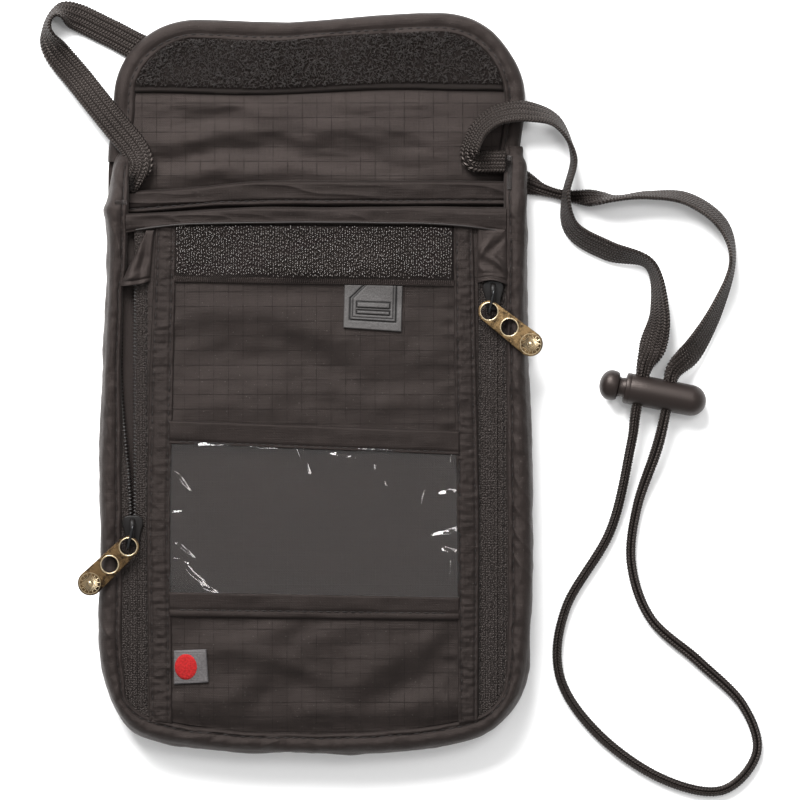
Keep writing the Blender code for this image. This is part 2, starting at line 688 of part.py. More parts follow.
def build_strap(braid, tab):
    """One flat braided strap, and the two sewn tabs that hold its ends."""
    low, high = ANCHOR_X
    slab("left_strap_anchor", rectangle((-high, -low), ANCHOR_Y), ANCHOR_Z, tab)
    slab("right_strap_anchor", rectangle((low, high), ANCHOR_Y), ANCHOR_Z, tab)
    curve = bpy.data.curves.new("neck_strap", "CURVE")
    curve.dimensions = "3D"
    curve.twist_mode = "Z_UP"
    curve.extrude = STRAP_HALF_WIDTH - STRAP_HALF_THICK
    curve.bevel_depth = STRAP_HALF_THICK
    curve.bevel_resolution = 2
    curve.use_fill_caps = True
    spline = curve.splines.new("POLY")
    places = strap_places()
    spline.points.add(len(places) - 1)
    for point, (place, tilt, share) in zip(spline.points, places):
        point.co = (*place, 1.0)
        point.tilt = math.pi / 2 - tilt
        point.radius = share
    spline.use_smooth = True
    link_object("neck_strap", curve, braid)


def main():
    clear_scene()
    cloth = material("black ripstop", (0.045, 0.038, 0.036), 0.75)
    lining = material("lining cloth", (0.035, 0.03, 0.029), 0.8)
    hem = material("binding cloth", (0.06, 0.052, 0.05), 0.7)
    hook = material("hook tape", (0.02, 0.018, 0.018), 0.6)
    loop = material("loop tape", (0.02, 0.017, 0.017), 0.95)
    tape = material("zip tape", (0.035, 0.03, 0.03), 0.8)
    coil = material("zip coil", (0.02, 0.018, 0.018), 0.45)
    rubber = material("rubber patch", (0.12, 0.115, 0.115), 0.6)
    label = material("woven label", (0.16, 0.16, 0.16), 0.8)
    vinyl = material("clear vinyl", (0.85, 0.87, 0.9), 0.1, alpha=0.3)
    gun = material("gunmetal", (0.05, 0.05, 0.052), 0.35, metallic=1.0)
    brass = material("antique brass", (0.28, 0.21, 0.11), 0.4, metallic=1.0)
    braid = material("braided strap", (0.05, 0.043, 0.04), 0.8)
    plastic = material("lock plastic", (0.035, 0.031, 0.031), 0.35)
    steel = material("spring steel", (0.55, 0.55, 0.56), 0.3, metallic=1.0)
    build_back(cloth, lining)
    build_walls(cloth)
    build_pockets(lining, hem)
    build_front(cloth, hem, hook, rubber, label, vinyl)
    build_zip(-1, "left", LEFT_BAR_Y, LEFT_PULL_TURN, tape, coil, gun, brass, cloth, steel)
    build_zip(1, "right", RIGHT_BAR_Y, RIGHT_PULL_TURN, tape, coil, gun, brass, cloth, steel)
    build_flap(cloth, lining, loop)
    build_lock(plastic, steel)
    build_strap(braid, hem)


main()
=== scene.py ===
"""The looks of a neck pouch wallet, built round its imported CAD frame.

Shapes are worked out in millimetres and turned into metres when a mesh is made.
"""

import math
import random

import bmesh
import bpy
import numpy as np
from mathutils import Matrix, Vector


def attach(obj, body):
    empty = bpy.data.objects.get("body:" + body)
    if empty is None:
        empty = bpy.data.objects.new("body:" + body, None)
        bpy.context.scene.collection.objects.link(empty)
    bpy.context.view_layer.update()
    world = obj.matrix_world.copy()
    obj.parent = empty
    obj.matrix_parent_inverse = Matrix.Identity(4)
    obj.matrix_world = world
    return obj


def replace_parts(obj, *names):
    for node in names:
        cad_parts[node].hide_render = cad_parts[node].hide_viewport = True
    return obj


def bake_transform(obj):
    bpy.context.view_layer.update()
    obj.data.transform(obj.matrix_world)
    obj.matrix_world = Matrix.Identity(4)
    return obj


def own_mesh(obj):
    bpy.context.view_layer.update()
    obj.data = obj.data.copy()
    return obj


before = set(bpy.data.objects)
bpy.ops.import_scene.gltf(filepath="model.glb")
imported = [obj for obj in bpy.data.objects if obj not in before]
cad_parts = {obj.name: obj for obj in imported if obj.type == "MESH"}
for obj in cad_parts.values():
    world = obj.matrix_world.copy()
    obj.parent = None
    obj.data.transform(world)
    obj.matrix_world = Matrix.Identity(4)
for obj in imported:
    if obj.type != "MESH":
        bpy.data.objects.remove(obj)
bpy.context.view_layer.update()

MM = 0.001
TAU = 2 * math.pi


# ---------------------------------------------------------------- numbers and fields


def field(x, y, seed):
    """Smooth heights between -1 and 1, about one hill or hollow a unit."""
    x, y = np.asarray(x, float) + 17.31 * seed, np.asarray(y, float) + 9.17 * seed
    ix, iy = np.floor(x), np.floor(y)
    fx, fy = x - ix, y - iy
    fx, fy = fx * fx * (3 - 2 * fx), fy * fy * (3 - 2 * fy)

    def corner(i, j):
        v = np.sin((ix + i) * 12.9898 + (iy + j) * 78.233 + seed * 3.7) * 4375.85453
        return 2 * (v - np.floor(v)) - 1

    low = corner(0, 0) * (1 - fx) + corner(1, 0) * fx
    high = corner(0, 1) * (1 - fx) + corner(1, 1) * fx
    return low * (1 - fy) + high * fy


def crease(x, y, seed):
    """Sharp-topped ridges between 0 and 1, as in crumpled cloth."""
    return (1 - np.abs(field(x, y, seed))) ** 3


def ridges(x, y, rows):
    """Soft folds, given one by one: (x, y, turn in degrees, half length, half width, height)."""
    total = 0.0
    for cx, cy, turn, long, wide, high in rows:
        c, s = math.cos(math.radians(turn)), math.sin(math.radians(turn))
        along, across = (x - cx) * c + (y - cy) * s, (y - cy) * c - (x - cx) * s
        across = across + 0.12 * wide * np.sin(along / wide)
        total = total + high * np.exp(-((along / long) ** 2) - (across / wide) ** 2)
    return total


def step(low, high, x):
    """From 0 at low to 1 at high, smooth at both."""
    t = np.clip((np.asarray(x, float) - low) / (high - low), 0, 1)
    return t * t * (3 - 2 * t)


def hump(low, high, x, soft):
    """1 between low and high and 0 outside."""
    return step(low - soft, low + soft, x) * (1 - step(high - soft, high + soft, x))


def edge_round(distance, radius):
    """From 0 at an edge up to 1 a radius in, as a quarter circle."""
    t = 1 - np.clip(distance / radius, 0, 1)
    return np.sqrt(np.clip(1 - t * t, 0, 1))


def spaced(count, crowd):
    """Steps from 0 to 1 that crowd towards both ends."""
    t = np.linspace(0, 1, count)
    return (1 - crowd) * t + crowd * 0.5 * (1 - np.cos(math.pi * t))


def bell(x, width):
    """1 at 0, falling to nothing about two widths away."""
    return np.exp(-((x / width) ** 2))


def lattice(us, vs):
    """Grids of u and v, with u along the first axis."""
    return np.meshgrid(us, vs, indexing="ij")


def grid_of(*parts):
    """Points or UVs over a grid, from one array or row or column a coordinate."""
    return np.stack(np.broadcast_arrays(*parts), axis=2)


def straight(x, ys, z):
    """Points on a straight line along Y."""
    return np.column_stack([np.full_like(ys, x), ys, np.full_like(ys, z)])


def run_of(p):
    """The distance run along a path, at each of its points."""
    return np.concatenate([[0], np.cumsum(np.linalg.norm(np.diff(p, axis=0), axis=1))])


def pick(p, run, at):
    """The points of p at the distances in at, where run is the distance of each point."""
    return np.column_stack([np.interp(at, run, p[:, k]) for k in range(p.shape[1])])


def resample(points, count, closed=False):
    """Points at even distances along a path."""
    p = np.asarray(points, float)
    if closed:
        p = np.vstack([p, p[:1]])
    run = run_of(p)
    return pick(p, run, np.linspace(0, run[-1], count))


def spline(points, per_span=16):
    """A Catmull-Rom curve through rows of numbers."""
    p = np.asarray(points, float)
    p = np.vstack([2 * p[0] - p[1], p, 2 * p[-1] - p[-2]])
    t = np.linspace(0, 1, per_span, endpoint=False)[:, None]
    made = []
    for a, b, c, d in zip(p, p[1:], p[2:], p[3:]):
        made.append(
            b
            + 0.5 * (c - a) * t
            + (a - 2.5 * b + 2 * c - 0.5 * d) * t**2
            + (1.5 * b - 0.5 * a - 1.5 * c + 0.5 * d) * t**3
        )
    return np.vstack(made + [p[-2:-1]])


def unit(vectors):
    return vectors / np.maximum(np.linalg.norm(vectors, axis=-1, keepdims=True), 1e-9)


def sideways(p):
    """Unit normals on the right-hand side of a plan path."""
    t = unit(np.gradient(p[:, :2], axis=0))
    return np.column_stack([t[:, 1], -t[:, 0]])


def smoothed(rows, passes):
    """Evens out everything but the first and last row."""
    for _ in range(passes):
        rows[1:-1] = (rows[:-2] + rows[1:-1] + rows[2:]) / 3
    return rows


# ---------------------------------------------------------------- meshes


def add_object(name, data, body=None, material=None):
    """A new object in the scene, with its body and material if they are given."""
    obj = bpy.data.objects.new(name, data)
    bpy.context.scene.collection.objects.link(obj)
    if material is not None:
        data.materials.append(material)
    if body:
        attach(obj, body)
    return obj


def mesh_of(name, verts, faces, uv=None, sharp=None):
    """A smooth-shaded mesh from points in mm, with one UV in metres a point."""
    mesh = bpy.data.meshes.new(name)
    mesh.from_pydata((np.asarray(verts, float) * MM).tolist(), [], faces)
    if uv is not None:
        layer = mesh.uv_layers.new(name="UVMap")
        loops = np.empty(len(mesh.loops), np.int32)
        mesh.loops.foreach_get("vertex_index", loops)
        layer.data.foreach_set("uv", (np.asarray(uv, np.float32) * MM)[loops].ravel())
    mesh.shade_smooth()
    if sharp is not None:
        mesh.set_sharp_from_angle(angle=math.radians(sharp))
    return mesh


def grid_faces(nu, nv, close_u=False, close_v=False):
    faces = []
    for i in range(nu if close_u else nu - 1):
        a, b = i * nv, ((i + 1) % nu) * nv
        for j in range(nv if close_v else nv - 1):
            k = (j + 1) % nv
            faces.append((a + j, b + j, b + k, a + k))
    return faces


def capped_faces(rows, ring):
    """Faces round a stack of closed rings, and one at each end."""
    last = (rows - 1) * ring
    ends = [tuple(reversed(range(ring))), tuple(last + k for k in range(ring))]
    return grid_faces(rows, ring, close_v=True) + ends


def shell(name, top, thick, material, body, uv=None, flip=False, sharp=50):
    """A closed sheet: a grid of points (nu, nv, 3) in mm and a second one under it."""
    nu, nv = top.shape[:2]
    normal = unit(np.cross(np.gradient(top, axis=0), np.gradient(top, axis=1)))
    under = top - normal * (-thick if flip else thick)
    verts = np.vstack([top.reshape(-1, 3), under.reshape(-1, 3)])
    faces = grid_faces(nu, nv)
    n = nu * nv
    faces += [tuple(n + v for v in reversed(f)) for f in faces]
    ring = [i * nv for i in range(nu)] + [(nu - 1) * nv + j for j in range(1, nv)]
    ring += [i * nv + nv - 1 for i in range(nu - 2, -1, -1)] + list(range(nv - 2, 0, -1))
    for a, b in zip(ring, ring[1:] + ring[:1]):
        faces.append((b, a, n + a, n + b))
    if flip:
        faces = [tuple(reversed(f)) for f in faces]
    if uv is None:
        uv = top[..., :2]
    uv = np.vstack([uv.reshape(-1, 2)] * 2)
    mesh = mesh_of(name, verts, faces, uv, sharp)
    return add_object(name, mesh, body, material)


def quad_grid(corners, us, vs):
    """(x, y) over a four-sided patch given bottom left, bottom right, top right, top left."""
    bl, br, tr, tl = (np.asarray(c, float) for c in corners)
    u, v = (share[..., None] for share in lattice(us, vs))
    xy = bl * (1 - u) * (1 - v) + br * u * (1 - v) + tr * u * v + tl * (1 - u) * v
    return xy[..., 0], xy[..., 1]


def merged(name, pieces, material, body):
    """One mesh from a list of (points, faces)."""
    verts, faces, start = [], [], 0
    for points, quads in pieces:
        verts.append(points)
        faces += [tuple(start + v for v in f) for f in quads]
        start += len(points)
    verts = np.vstack(verts)
    return add_object(name, mesh_of(name, verts, faces, verts[:, :2]), body, material)


def frames_along(t, up=(0.02, 0.01, 1.0)):
    """Unit vectors along, to the right of and above a path, from its tangents."""
    t = unit(t)
    side = unit(np.cross(t, np.array(up)))
    return t, side, np.cross(side, t)


def around(p):
    """Tangents of a closed path."""
    return np.roll(p, -1, axis=0) - np.roll(p, 1, axis=0)


def tube(p, radius, sides, squash=1.0, closed=False):
    """(points, faces) of a tube along p. radius is one number or one a point; its ends are capped."""
    p = np.asarray(p, float)
    _, side, top = frames_along(around(p) if closed else np.gradient(p, axis=0))
    r = np.broadcast_to(np.asarray(radius, float), (len(p),))
    turn = np.arange(sides) * TAU / sides
    ring = np.cos(turn)[None, :, None] * side[:, None] + squash * np.sin(turn)[None, :, None] * top[:, None]
    points = (p[:, None] + ring * r[:, None, None]).reshape(-1, 3)
    faces = grid_faces(len(p), sides, True, True) if closed else capped_faces(len(p), sides)
    return points, [tuple(reversed(f)) for f in faces]


def tidy_normals(obj, sharp=None):
    """Turns every face outwards and, if asked, marks the sharp edges again."""
    bm = bmesh.new()
    bm.from_mesh(obj.data)
    bmesh.ops.recalc_face_normals(bm, faces=bm.faces)
    bm.to_mesh(obj.data)
    bm.free()
    if sharp is not None:
        obj.data.set_sharp_from_angle(angle=math.radians(sharp))
    return obj


def drill(target, ring, half, place=np.asarray):
    """Cuts a hole through target: a prism from ring - half to ring + half, put in place."""
    n = len(ring)
    faces = [(k, (k + 1) % n, n + (k + 1) % n, n + k) for k in range(n)]
    faces += [tuple(range(n)), tuple(reversed(range(n, 2 * n)))]
    prism = mesh_of("cut", place(np.vstack([ring - half, ring + half])), faces)
    cutter = tidy_normals(add_object("cut", prism))
    mod = target.modifiers.new("hole", "BOOLEAN")
    mod.operation, mod.solver, mod.object = "DIFFERENCE", "EXACT", cutter
    bpy.context.view_layer.update()
    graph = bpy.context.evaluated_depsgraph_get()
    mesh = bpy.data.meshes.new_from_object(target.evaluated_get(graph))
    target.modifiers.clear()
    target.data = mesh
    bpy.data.objects.remove(cutter, do_unlink=True)


def stitches(path, pitch, length, radius):
    """Thread along a path of (x, y, z), one small humped stitch after another."""
    start, lift = 0.4, 0.05
    run = run_of(path)
    made = []
    for k in range(int((run[-1] - start) / pitch)):
        at = start + k * pitch + np.linspace(0, length, 5)
        if at[-1] > run[-1]:
            break
        q = pick(path, run, at)
        q[:, 2] += lift + radius * np.array([-1.1, 0.1, 0.35, 0.1, -1.1])
        made.append(tube(q, radius * np.array([0.6, 1, 1, 1, 0.6]), 5))
    return made


def zigzag(path, reach, axis=0):
    """Thread that swings from side to side along a path."""
    path[:, axis] += reach * np.where(np.arange(len(path)) % 2, 1, -1)
    return path


# ---------------------------------------------------------------- materials


class Nodes:
    """A material and a short way to add nodes to it."""

    def __init__(self, name, colour, rough, **sockets):
        self.made = bpy.data.materials.new(name)
        self.made.use_nodes = True
        self.tree = self.made.node_tree
        self.shader = self.tree.nodes["Principled BSDF"]
        self.set("Base Color", (*colour, 1.0))
        self.set("Roughness", rough)
        for key, value in sockets.items():
            self.set(key.replace("_", " "), value)

    def set(self, key, value):
        self.put(self.shader, key, value)

    def put(self, node, key, value):
        if isinstance(value, bpy.types.NodeSocket):
            self.tree.links.new(value, node.inputs[key])
        else:
            node.inputs[key].default_value = value

    def add(self, kind, out=0, settings=None, **inputs):
        """A node's output. An input is named by its socket's name, or by _ and its number."""
        node = self.tree.nodes.new("ShaderNode" + kind)
        for key, value in (settings or {}).items():
            setattr(node, key, value)
        for key, value in inputs.items():
            numbered = key[0] == "_" and key[1:].isdigit()
            self.put(node, int(key[1:]) if numbered else key.replace("_", " "), value)
        return node.outputs[out]

    def math(self, op, a, b=0.0, c=0.0):
        return self.add("Math", settings={"operation": op}, _0=a, _1=b, _2=c)

    def about(self, value, centre, gain, base):
        """base, and gain times how far value is from centre."""
        return self.math("MULTIPLY_ADD", self.math("SUBTRACT", value, centre), gain, base)

    def coords(self, what="UV"):
        """Coordinates in mm: UV follows the cloth, Object follows the world at rest."""
        source = self.add("TexCoord", what)
        return self.add("VectorMath", settings={"operation": "SCALE"}, _0=source, Scale=1000.0)

    def split(self, vector):
        node = self.tree.nodes.new("ShaderNodeSeparateXYZ")
        self.put(node, 0, vector)
        return node.outputs[0], node.outputs[1]

    def stretch(self, vector, scale):
        return self.add("Mapping", Vector=vector, Scale=scale)

    def noise(self, vector, scale, detail, rough=0.5):
        return self.add("TexNoise", Vector=vector, Scale=scale, Detail=detail, Roughness=rough)

    def mix(self, share, a, b):
        node = self.tree.nodes.new("ShaderNodeMix")
        node.data_type = "RGBA"
        self.put(node, 0, share)
        for key, value in ((6, a), (7, b)):
            self.put(node, key, value if isinstance(value, bpy.types.NodeSocket) else (*value, 1.0))
        return node.outputs[2]

    def ramp(self, value, low, high):
        return self.add("MapRange", settings={"clamp": True}, Value=value, From_Min=low, From_Max=high)

    def bump(self, height, distance, strength=1.0):
        return self.add("Bump", Height=height, Distance=distance, Strength=strength)


def shade(colour, factor):
    return tuple(c * factor for c in colour)


def cloth_material(name, colour, pitch=0.55, weave=0.00012, grid=0.0, gloss=0.22, slub=0.25, specks=0.0):
    """Plain-woven cloth: threads both ways, slubs, faded patches, and a ripstop grid if asked."""
    rough = 0.5
    m = Nodes(name, colour, rough, Sheen_Weight=0.06, Sheen_Roughness=0.5, Sheen_Tint=(0.75, 0.66, 0.62, 1.0))
    m.set("Specular IOR Level", gloss)
    m.set("Specular Tint", (1.0, 0.84, 0.78, 1.0))
    at = m.coords()
    x, y = m.split(at)
    sx = m.math("SINE", m.math("MULTIPLY", x, TAU / pitch))
    sy = m.math("SINE", m.math("MULTIPLY", y, TAU / pitch))
    threads = m.math("MULTIPLY", sx, sy)
    along = m.noise(m.stretch(at, (0.16, 2.4, 1.0)), 1.0, 2.0)
    across = m.noise(m.stretch(at, (2.4, 0.16, 1.0)), 1.0, 2.0)
    slubs = m.math("ADD", along, across)
    patch = m.noise(at, 0.07, 3.0)
    tone = m.about(slubs, 1.0, slub * 2.2, 0.5)
    tone = m.about(patch, 0.5, 1.0, tone)
    grain = m.noise(at, 1.5, 2.0)
    tone = m.about(grain, 0.5, 1.5, tone)
    height = m.math("MULTIPLY_ADD", slubs, 0.9, m.math("MULTIPLY", threads, 0.35))
    if grid:
        lines = []
        for value in (x, y):
            near = m.math("PINGPONG", m.math("ADD", value, 1000.0), grid / 2)
            lines.append(m.math("LESS_THAN", near, 0.15))
        line = m.math("MAXIMUM", lines[0], lines[1])
        broken = m.ramp(m.noise(at, 0.25, 3.0), 0.3, 0.6)
        line = m.math("MULTIPLY", line, broken)
        tone = m.math("MULTIPLY_ADD", line, -0.7, tone)
        m.set("Roughness", m.math("MULTIPLY_ADD", line, 0.35, rough))
        height = m.math("MULTIPLY_ADD", line, 1.3, height)
    base = m.mix(tone, shade(colour, 0.55), shade(colour, 1.45))
    if specks:
        dust = m.ramp(m.noise(at, 1.9, 0.0), 0.8, 0.83)
        base = m.mix(m.math("MULTIPLY", dust, specks), base, (0.12, 0.11, 0.1))
    m.set("Base Color", base)
    m.set("Normal", m.bump(height, weave))
    return m.made


def pebbled_material(name, colour, cell):
    """Knitted zip tape: a close crowd of small shiny beads, with a painted glint on each bead's crown and
    painted shade between the beads.
    """
    m = Nodes(name, colour, 0.42, Specular_IOR_Level=0.28)
    m.set("Specular Tint", (1.0, 0.86, 0.8, 1.0))
    at = m.coords()
    beads = m.add("TexVoronoi", "Distance", None, Vector=at, Scale=1.0 / cell, Randomness=0.55)
    crown = m.ramp(beads, 0.62, 0.1)
    uneven = m.noise(at, 0.9, 2.0)
    # Base colour: painted glint, lighter on each bead's crown, and painted shade, darker between the beads.
    m.set("Base Color", m.mix(m.math("MULTIPLY", crown, uneven), shade(colour, 0.3), shade(colour, 3.0)))
    m.set("Normal", m.bump(crown, 0.00022))
    return m.made


def braid_material(name, colour):
    """Flat braid: columns of slanting stitches that lean one way and then the other, with a painted highlight
    on each stitch's crest and painted shade in the grooves.
    """
    m = Nodes(name, colour, 0.42, Specular_IOR_Level=0.32)
    m.set("Specular Tint", (1.0, 0.86, 0.79, 1.0))
    at = m.coords()
    x, y = m.split(at)
    column = m.math("MULTIPLY", m.math("ADD", x, HALF_WIDE), BRAID_COLUMNS / (2 * HALF_WIDE))
    lean = m.math("PINGPONG", m.math("ADD", column, 40.0), 1.0)
    ridge = m.math("PINGPONG", m.math("ADD", column, 40.0), 0.5)
    groove = m.ramp(ridge, 0.03, 0.3)
    phase = m.math("MULTIPLY_ADD", lean, 0.8, m.math("DIVIDE", y, BRAID_PITCH))
    stitch = m.math("MULTIPLY_ADD", m.math("COSINE", m.math("MULTIPLY", phase, TAU)), 0.5, 0.5)
    crest_with_painted_highlight = m.math("MULTIPLY", stitch, groove)
    uneven = m.noise(at, 0.5, 3.0)
    share = m.math("MULTIPLY", crest_with_painted_highlight, m.math("MULTIPLY_ADD", uneven, 1.2, 0.2))
    # Base colour: painted highlight on the stitch crests and painted shade in the grooves between the columns.
    m.set("Base Color", m.mix(share, shade(colour, 0.2), shade(colour, 2.6)))
    m.set("Normal", m.bump(crest_with_painted_highlight, 0.0003))
    return m.made


def plain_material(name, colour, rough, bump, scale, **sockets):
    """Thread or moulded plastic: fine grain, slight mottling, uneven gloss."""
    m = Nodes(name, colour, rough, **sockets)
    at = m.coords("Object")
    grain = m.noise(at, scale, 4.0, 0.6)
    patch = m.noise(at, 0.12, 2.0)
    base = m.mix(patch, shade(colour, 1 - 0.12), shade(colour, 1 + 0.12))
    m.set("Base Color", base)
    m.set("Roughness", m.math("MULTIPLY_ADD", grain, rough * 0.4, rough * 0.8))
    m.set("Normal", m.bump(grain, bump))
    return m.made


def metal_material(name, colour, dark, rough, patina, scratch=0.00002):
    """Cast and tumbled metal: dark patina in the hollows, brighter where it is rubbed."""
    m = Nodes(name, colour, rough, Metallic=1.0)
    at = m.coords("Object")
    mottle = m.noise(at, 0.55, 5.0, 0.65)
    fine = m.noise(at, 5.0, 3.0, 0.6)
    edge = m.add("NewGeometry", "Pointiness")
    worn = m.ramp(edge, 0.47, 0.56)
    share = m.about(mottle, 0.5, patina * 2.5, 0.35)
    bright = m.math("MULTIPLY", worn, 0.5)
    share = m.add("Math", settings={"operation": "ADD", "use_clamp": True}, _0=share, _1=bright)
    m.set("Base Color", m.mix(share, dark, colour))
    m.set("Roughness", m.math("MULTIPLY_ADD", fine, 0.25, rough - 0.1))
    m.set("Normal", m.bump(m.math("ADD", fine, m.math("MULTIPLY", mottle, 0.6)), scratch))
    return m.made


HALF_WIDE, HALF_THICK = 4.6, 0.75
BRAID_COLUMNS, BRAID_PITCH = 8, 0.95

BLACK = (0.0068, 0.0049, 0.0045)
RIPSTOP = cloth_material("ripstop", shade(BLACK, 0.86), grid=4.7, slub=0.34, specks=0.35)
FLAP_CLOTH = cloth_material("flap_ripstop", shade(BLACK, 1.05), grid=4.7, slub=0.4, gloss=0.25)
GARAGE = cloth_material("garage_cloth", shade(BLACK, 1.0), pitch=0.5, weave=0.0001, slub=0.18, gloss=0.24)
LINING = cloth_material("lining_cloth", shade(BLACK, 0.7), pitch=0.6, slub=0.2)
BINDING = cloth_material("binding_cloth", shade(BLACK, 0.95), pitch=0.5, weave=0.0001, slub=0.16, specks=0.25)
HEM = cloth_material("hem_cloth", shade(BLACK, 0.8), pitch=0.5, weave=0.0001, slub=0.3, gloss=0.17, specks=0.25)
STRIP = cloth_material("strip_cloth", shade(BLACK, 0.8), pitch=0.5, slub=0.22, gloss=0.2, specks=0.3)
# Zip tape cloth with painted glints on its bead crowns.
TAPE_KNIT_PAINTED_GLINT = pebbled_material("zip_tape_knit_painted_glint", shade(BLACK, 0.7), 0.55)
LABEL = cloth_material("label_weave", (0.06, 0.058, 0.06), pitch=0.45, slub=0.12, gloss=0.3)
LABEL_RED = cloth_material("label_red_weave", (0.26, 0.008, 0.009), pitch=0.45, slub=0.1, gloss=0.1)
THREAD = plain_material("thread", (0.0075, 0.0055, 0.005), 0.5, 0.00005, 6.0, Specular_IOR_Level=0.25)
# A lighter copy of the hem cloth for the rolled edge: a painted highlight line.
HEM_EDGE_PAINTED_HIGHLIGHT = plain_material("hem_edge_painted_highlight", (0.014, 0.0111, 0.0102), 0.5, 0.00005, 6.0, Specular_IOR_Level=0.25)
THREAD_LIGHT = plain_material("thread_shiny", (0.03, 0.024, 0.022), 0.35, 0.00005, 6.0)
# Hook nylon set much lighter than the black tape: a painted glint on every hook.
HOOK_PAINTED_GLINT = plain_material("hook_nylon_painted_glint", (0.062, 0.052, 0.047), 0.22, 0.00001, 3.0, Specular_IOR_Level=1.0)
TAPE_BASE = cloth_material("hook_base", (0.0022, 0.0017, 0.0016), pitch=0.7, slub=0.1, gloss=0.1)
SELVEDGE = cloth_material("selvedge_rib", shade(BLACK, 1.5), pitch=0.62, slub=0.1, gloss=0.35)
# Loop pile set lighter than the black tape: painted glints on the curls.
LOOP_PAINTED_GLINT = plain_material("loop_pile_painted_glint", (0.0175, 0.0135, 0.012), 0.33, 0.00002, 3.0, Specular_IOR_Level=0.4)
COIL = plain_material("coil_nylon", (0.008, 0.0065, 0.006), 0.3, 0.00001, 3.0, Specular_IOR_Level=0.5)
BRAID = braid_material("strap_braid", (0.0078, 0.006, 0.0054))
LOCK = plain_material(
    "lock_plastic", (0.0088, 0.0062, 0.0056), 0.4, 0.00006, 3.5,
    Specular_IOR_Level=0.34, Specular_Tint=(1.0, 0.86, 0.8, 1.0),
)
PAINT = plain_material(
    "black_painted_metal", (0.005, 0.0042, 0.004), 0.4, 0.00004, 3.0, Specular_IOR_Level=0.14
)
GUN = metal_material("gunmetal", (0.04, 0.04, 0.041), (0.006, 0.006, 0.0065), 0.26, 0.25)
BRASS = metal_material("antique_brass", (0.15, 0.098, 0.047), (0.013, 0.009, 0.006), 0.36, 2.0, 0.00014)
BRASS_DARK = metal_material("dark_brass", (0.085, 0.054, 0.026), (0.012, 0.008, 0.006), 0.36, 2.0, 0.00014)
BRASS_RIM = metal_material("rubbed_brass", (0.5, 0.41, 0.27), (0.11, 0.078, 0.045), 0.3, 0.7)
STEEL = metal_material("spring_steel", (0.6, 0.6, 0.62), (0.35, 0.35, 0.37), 0.28, 0.1)


def vinyl_material():
    """Clear film: soft waves and slightly uneven gloss."""
    m = Nodes("clear_vinyl", (0.93, 0.9, 0.88), 0.04, Transmission_Weight=1.0, IOR=1.45, Specular_IOR_Level=0.8)
    waves = m.noise(m.coords("Object"), 0.09, 2.0)
    m.set("Normal", m.bump(waves, 0.0006, 0.6))
    m.set("Roughness", m.math("MULTIPLY_ADD", waves, 0.06, 0.03))
    return m.made


VINYL = vinyl_material()


# ---------------------------------------------------------------- camera and light

VIEW_WIDE = 0.2569
CAMERA_X, CAMERA_Y, LOOKED_AT_Z = 27.9 * MM, 22.8 * MM, 12.0 * MM
LENS, SENSOR = 260.0, 36.0


def build_camera_and_light():
    scene = bpy.context.scene
    data = bpy.data.cameras.new("camera")
    data.lens, data.sensor_width = LENS, SENSOR
    data.clip_start, data.clip_end = 0.01, 50.0
    camera = bpy.data.objects.new("camera", data)
    scene.collection.objects.link(camera)
    camera.location = (CAMERA_X, CAMERA_Y, LOOKED_AT_Z + VIEW_WIDE * LENS / SENSOR)
    scene.camera = camera
    world = bpy.data.worlds.new("studio")
    world.use_nodes = True
    sky = world.node_tree.nodes["Background"]
    sky.inputs[0].default_value, sky.inputs[1].default_value = (1.0, 1.0, 1.0, 1.0), 0.72
    scene.world = world
    scene.view_settings.view_transform = "Standard"
    scene.view_settings.look = "None"
    lamps = (
        ("key", (-0.3, 0.85, 0.75), 0.65, 36.0),
        ("fill", (0.3, 0.35, 1.3), 0.35, 4.0),
    )
    for name, place, size, power in lamps:
        light = bpy.data.lights.new(name, "AREA")
        light.size, light.energy = size, power
        lamp = bpy.data.objects.new(name, light)
        scene.collection.objects.link(lamp)
        lamp.location = place
        aim = Vector((0.0, 0.02, 0.0)) - Vector(place)
        lamp.rotation_mode = "QUATERNION"
        lamp.rotation_quaternion = aim.to_track_quat("-Z", "Y")
        lamp.visible_camera = False
    size = 6.0
    mesh = bpy.data.meshes.new("floor")
    corners = [(-size, -size, 0), (size, -size, 0), (size, size, 0), (-size, size, 0)]
    mesh.from_pydata(corners, [], [(0, 1, 2, 3)])
    floor = add_object("floor", mesh)
    floor.location = (0, 0, -0.0002)
    paper = Nodes("pale_floor", (0.93, 0.93, 0.93), 0.9)
    grain = paper.noise(paper.coords("Object"), 0.6, 2.0)
    paper.set("Base Color", paper.mix(grain, (0.92, 0.92, 0.92), (0.94, 0.94, 0.94)))
    mesh.materials.append(paper.made)


# ---------------------------------------------------------------- neck strap

LOCK_AT = np.array([100.4, 26.8, 5.05])
LOCK_TURN = math.radians(-11.0)
CORD_HOLES = (4.9, 14.3)


def lock_place(along, across):
    """A place on the ground beside the lock, along and across its axis."""
    c, s = math.cos(LOCK_TURN), math.sin(LOCK_TURN)
    return LOCK_AT + np.array([along * c - across * s, along * s + across * c, 0.0])


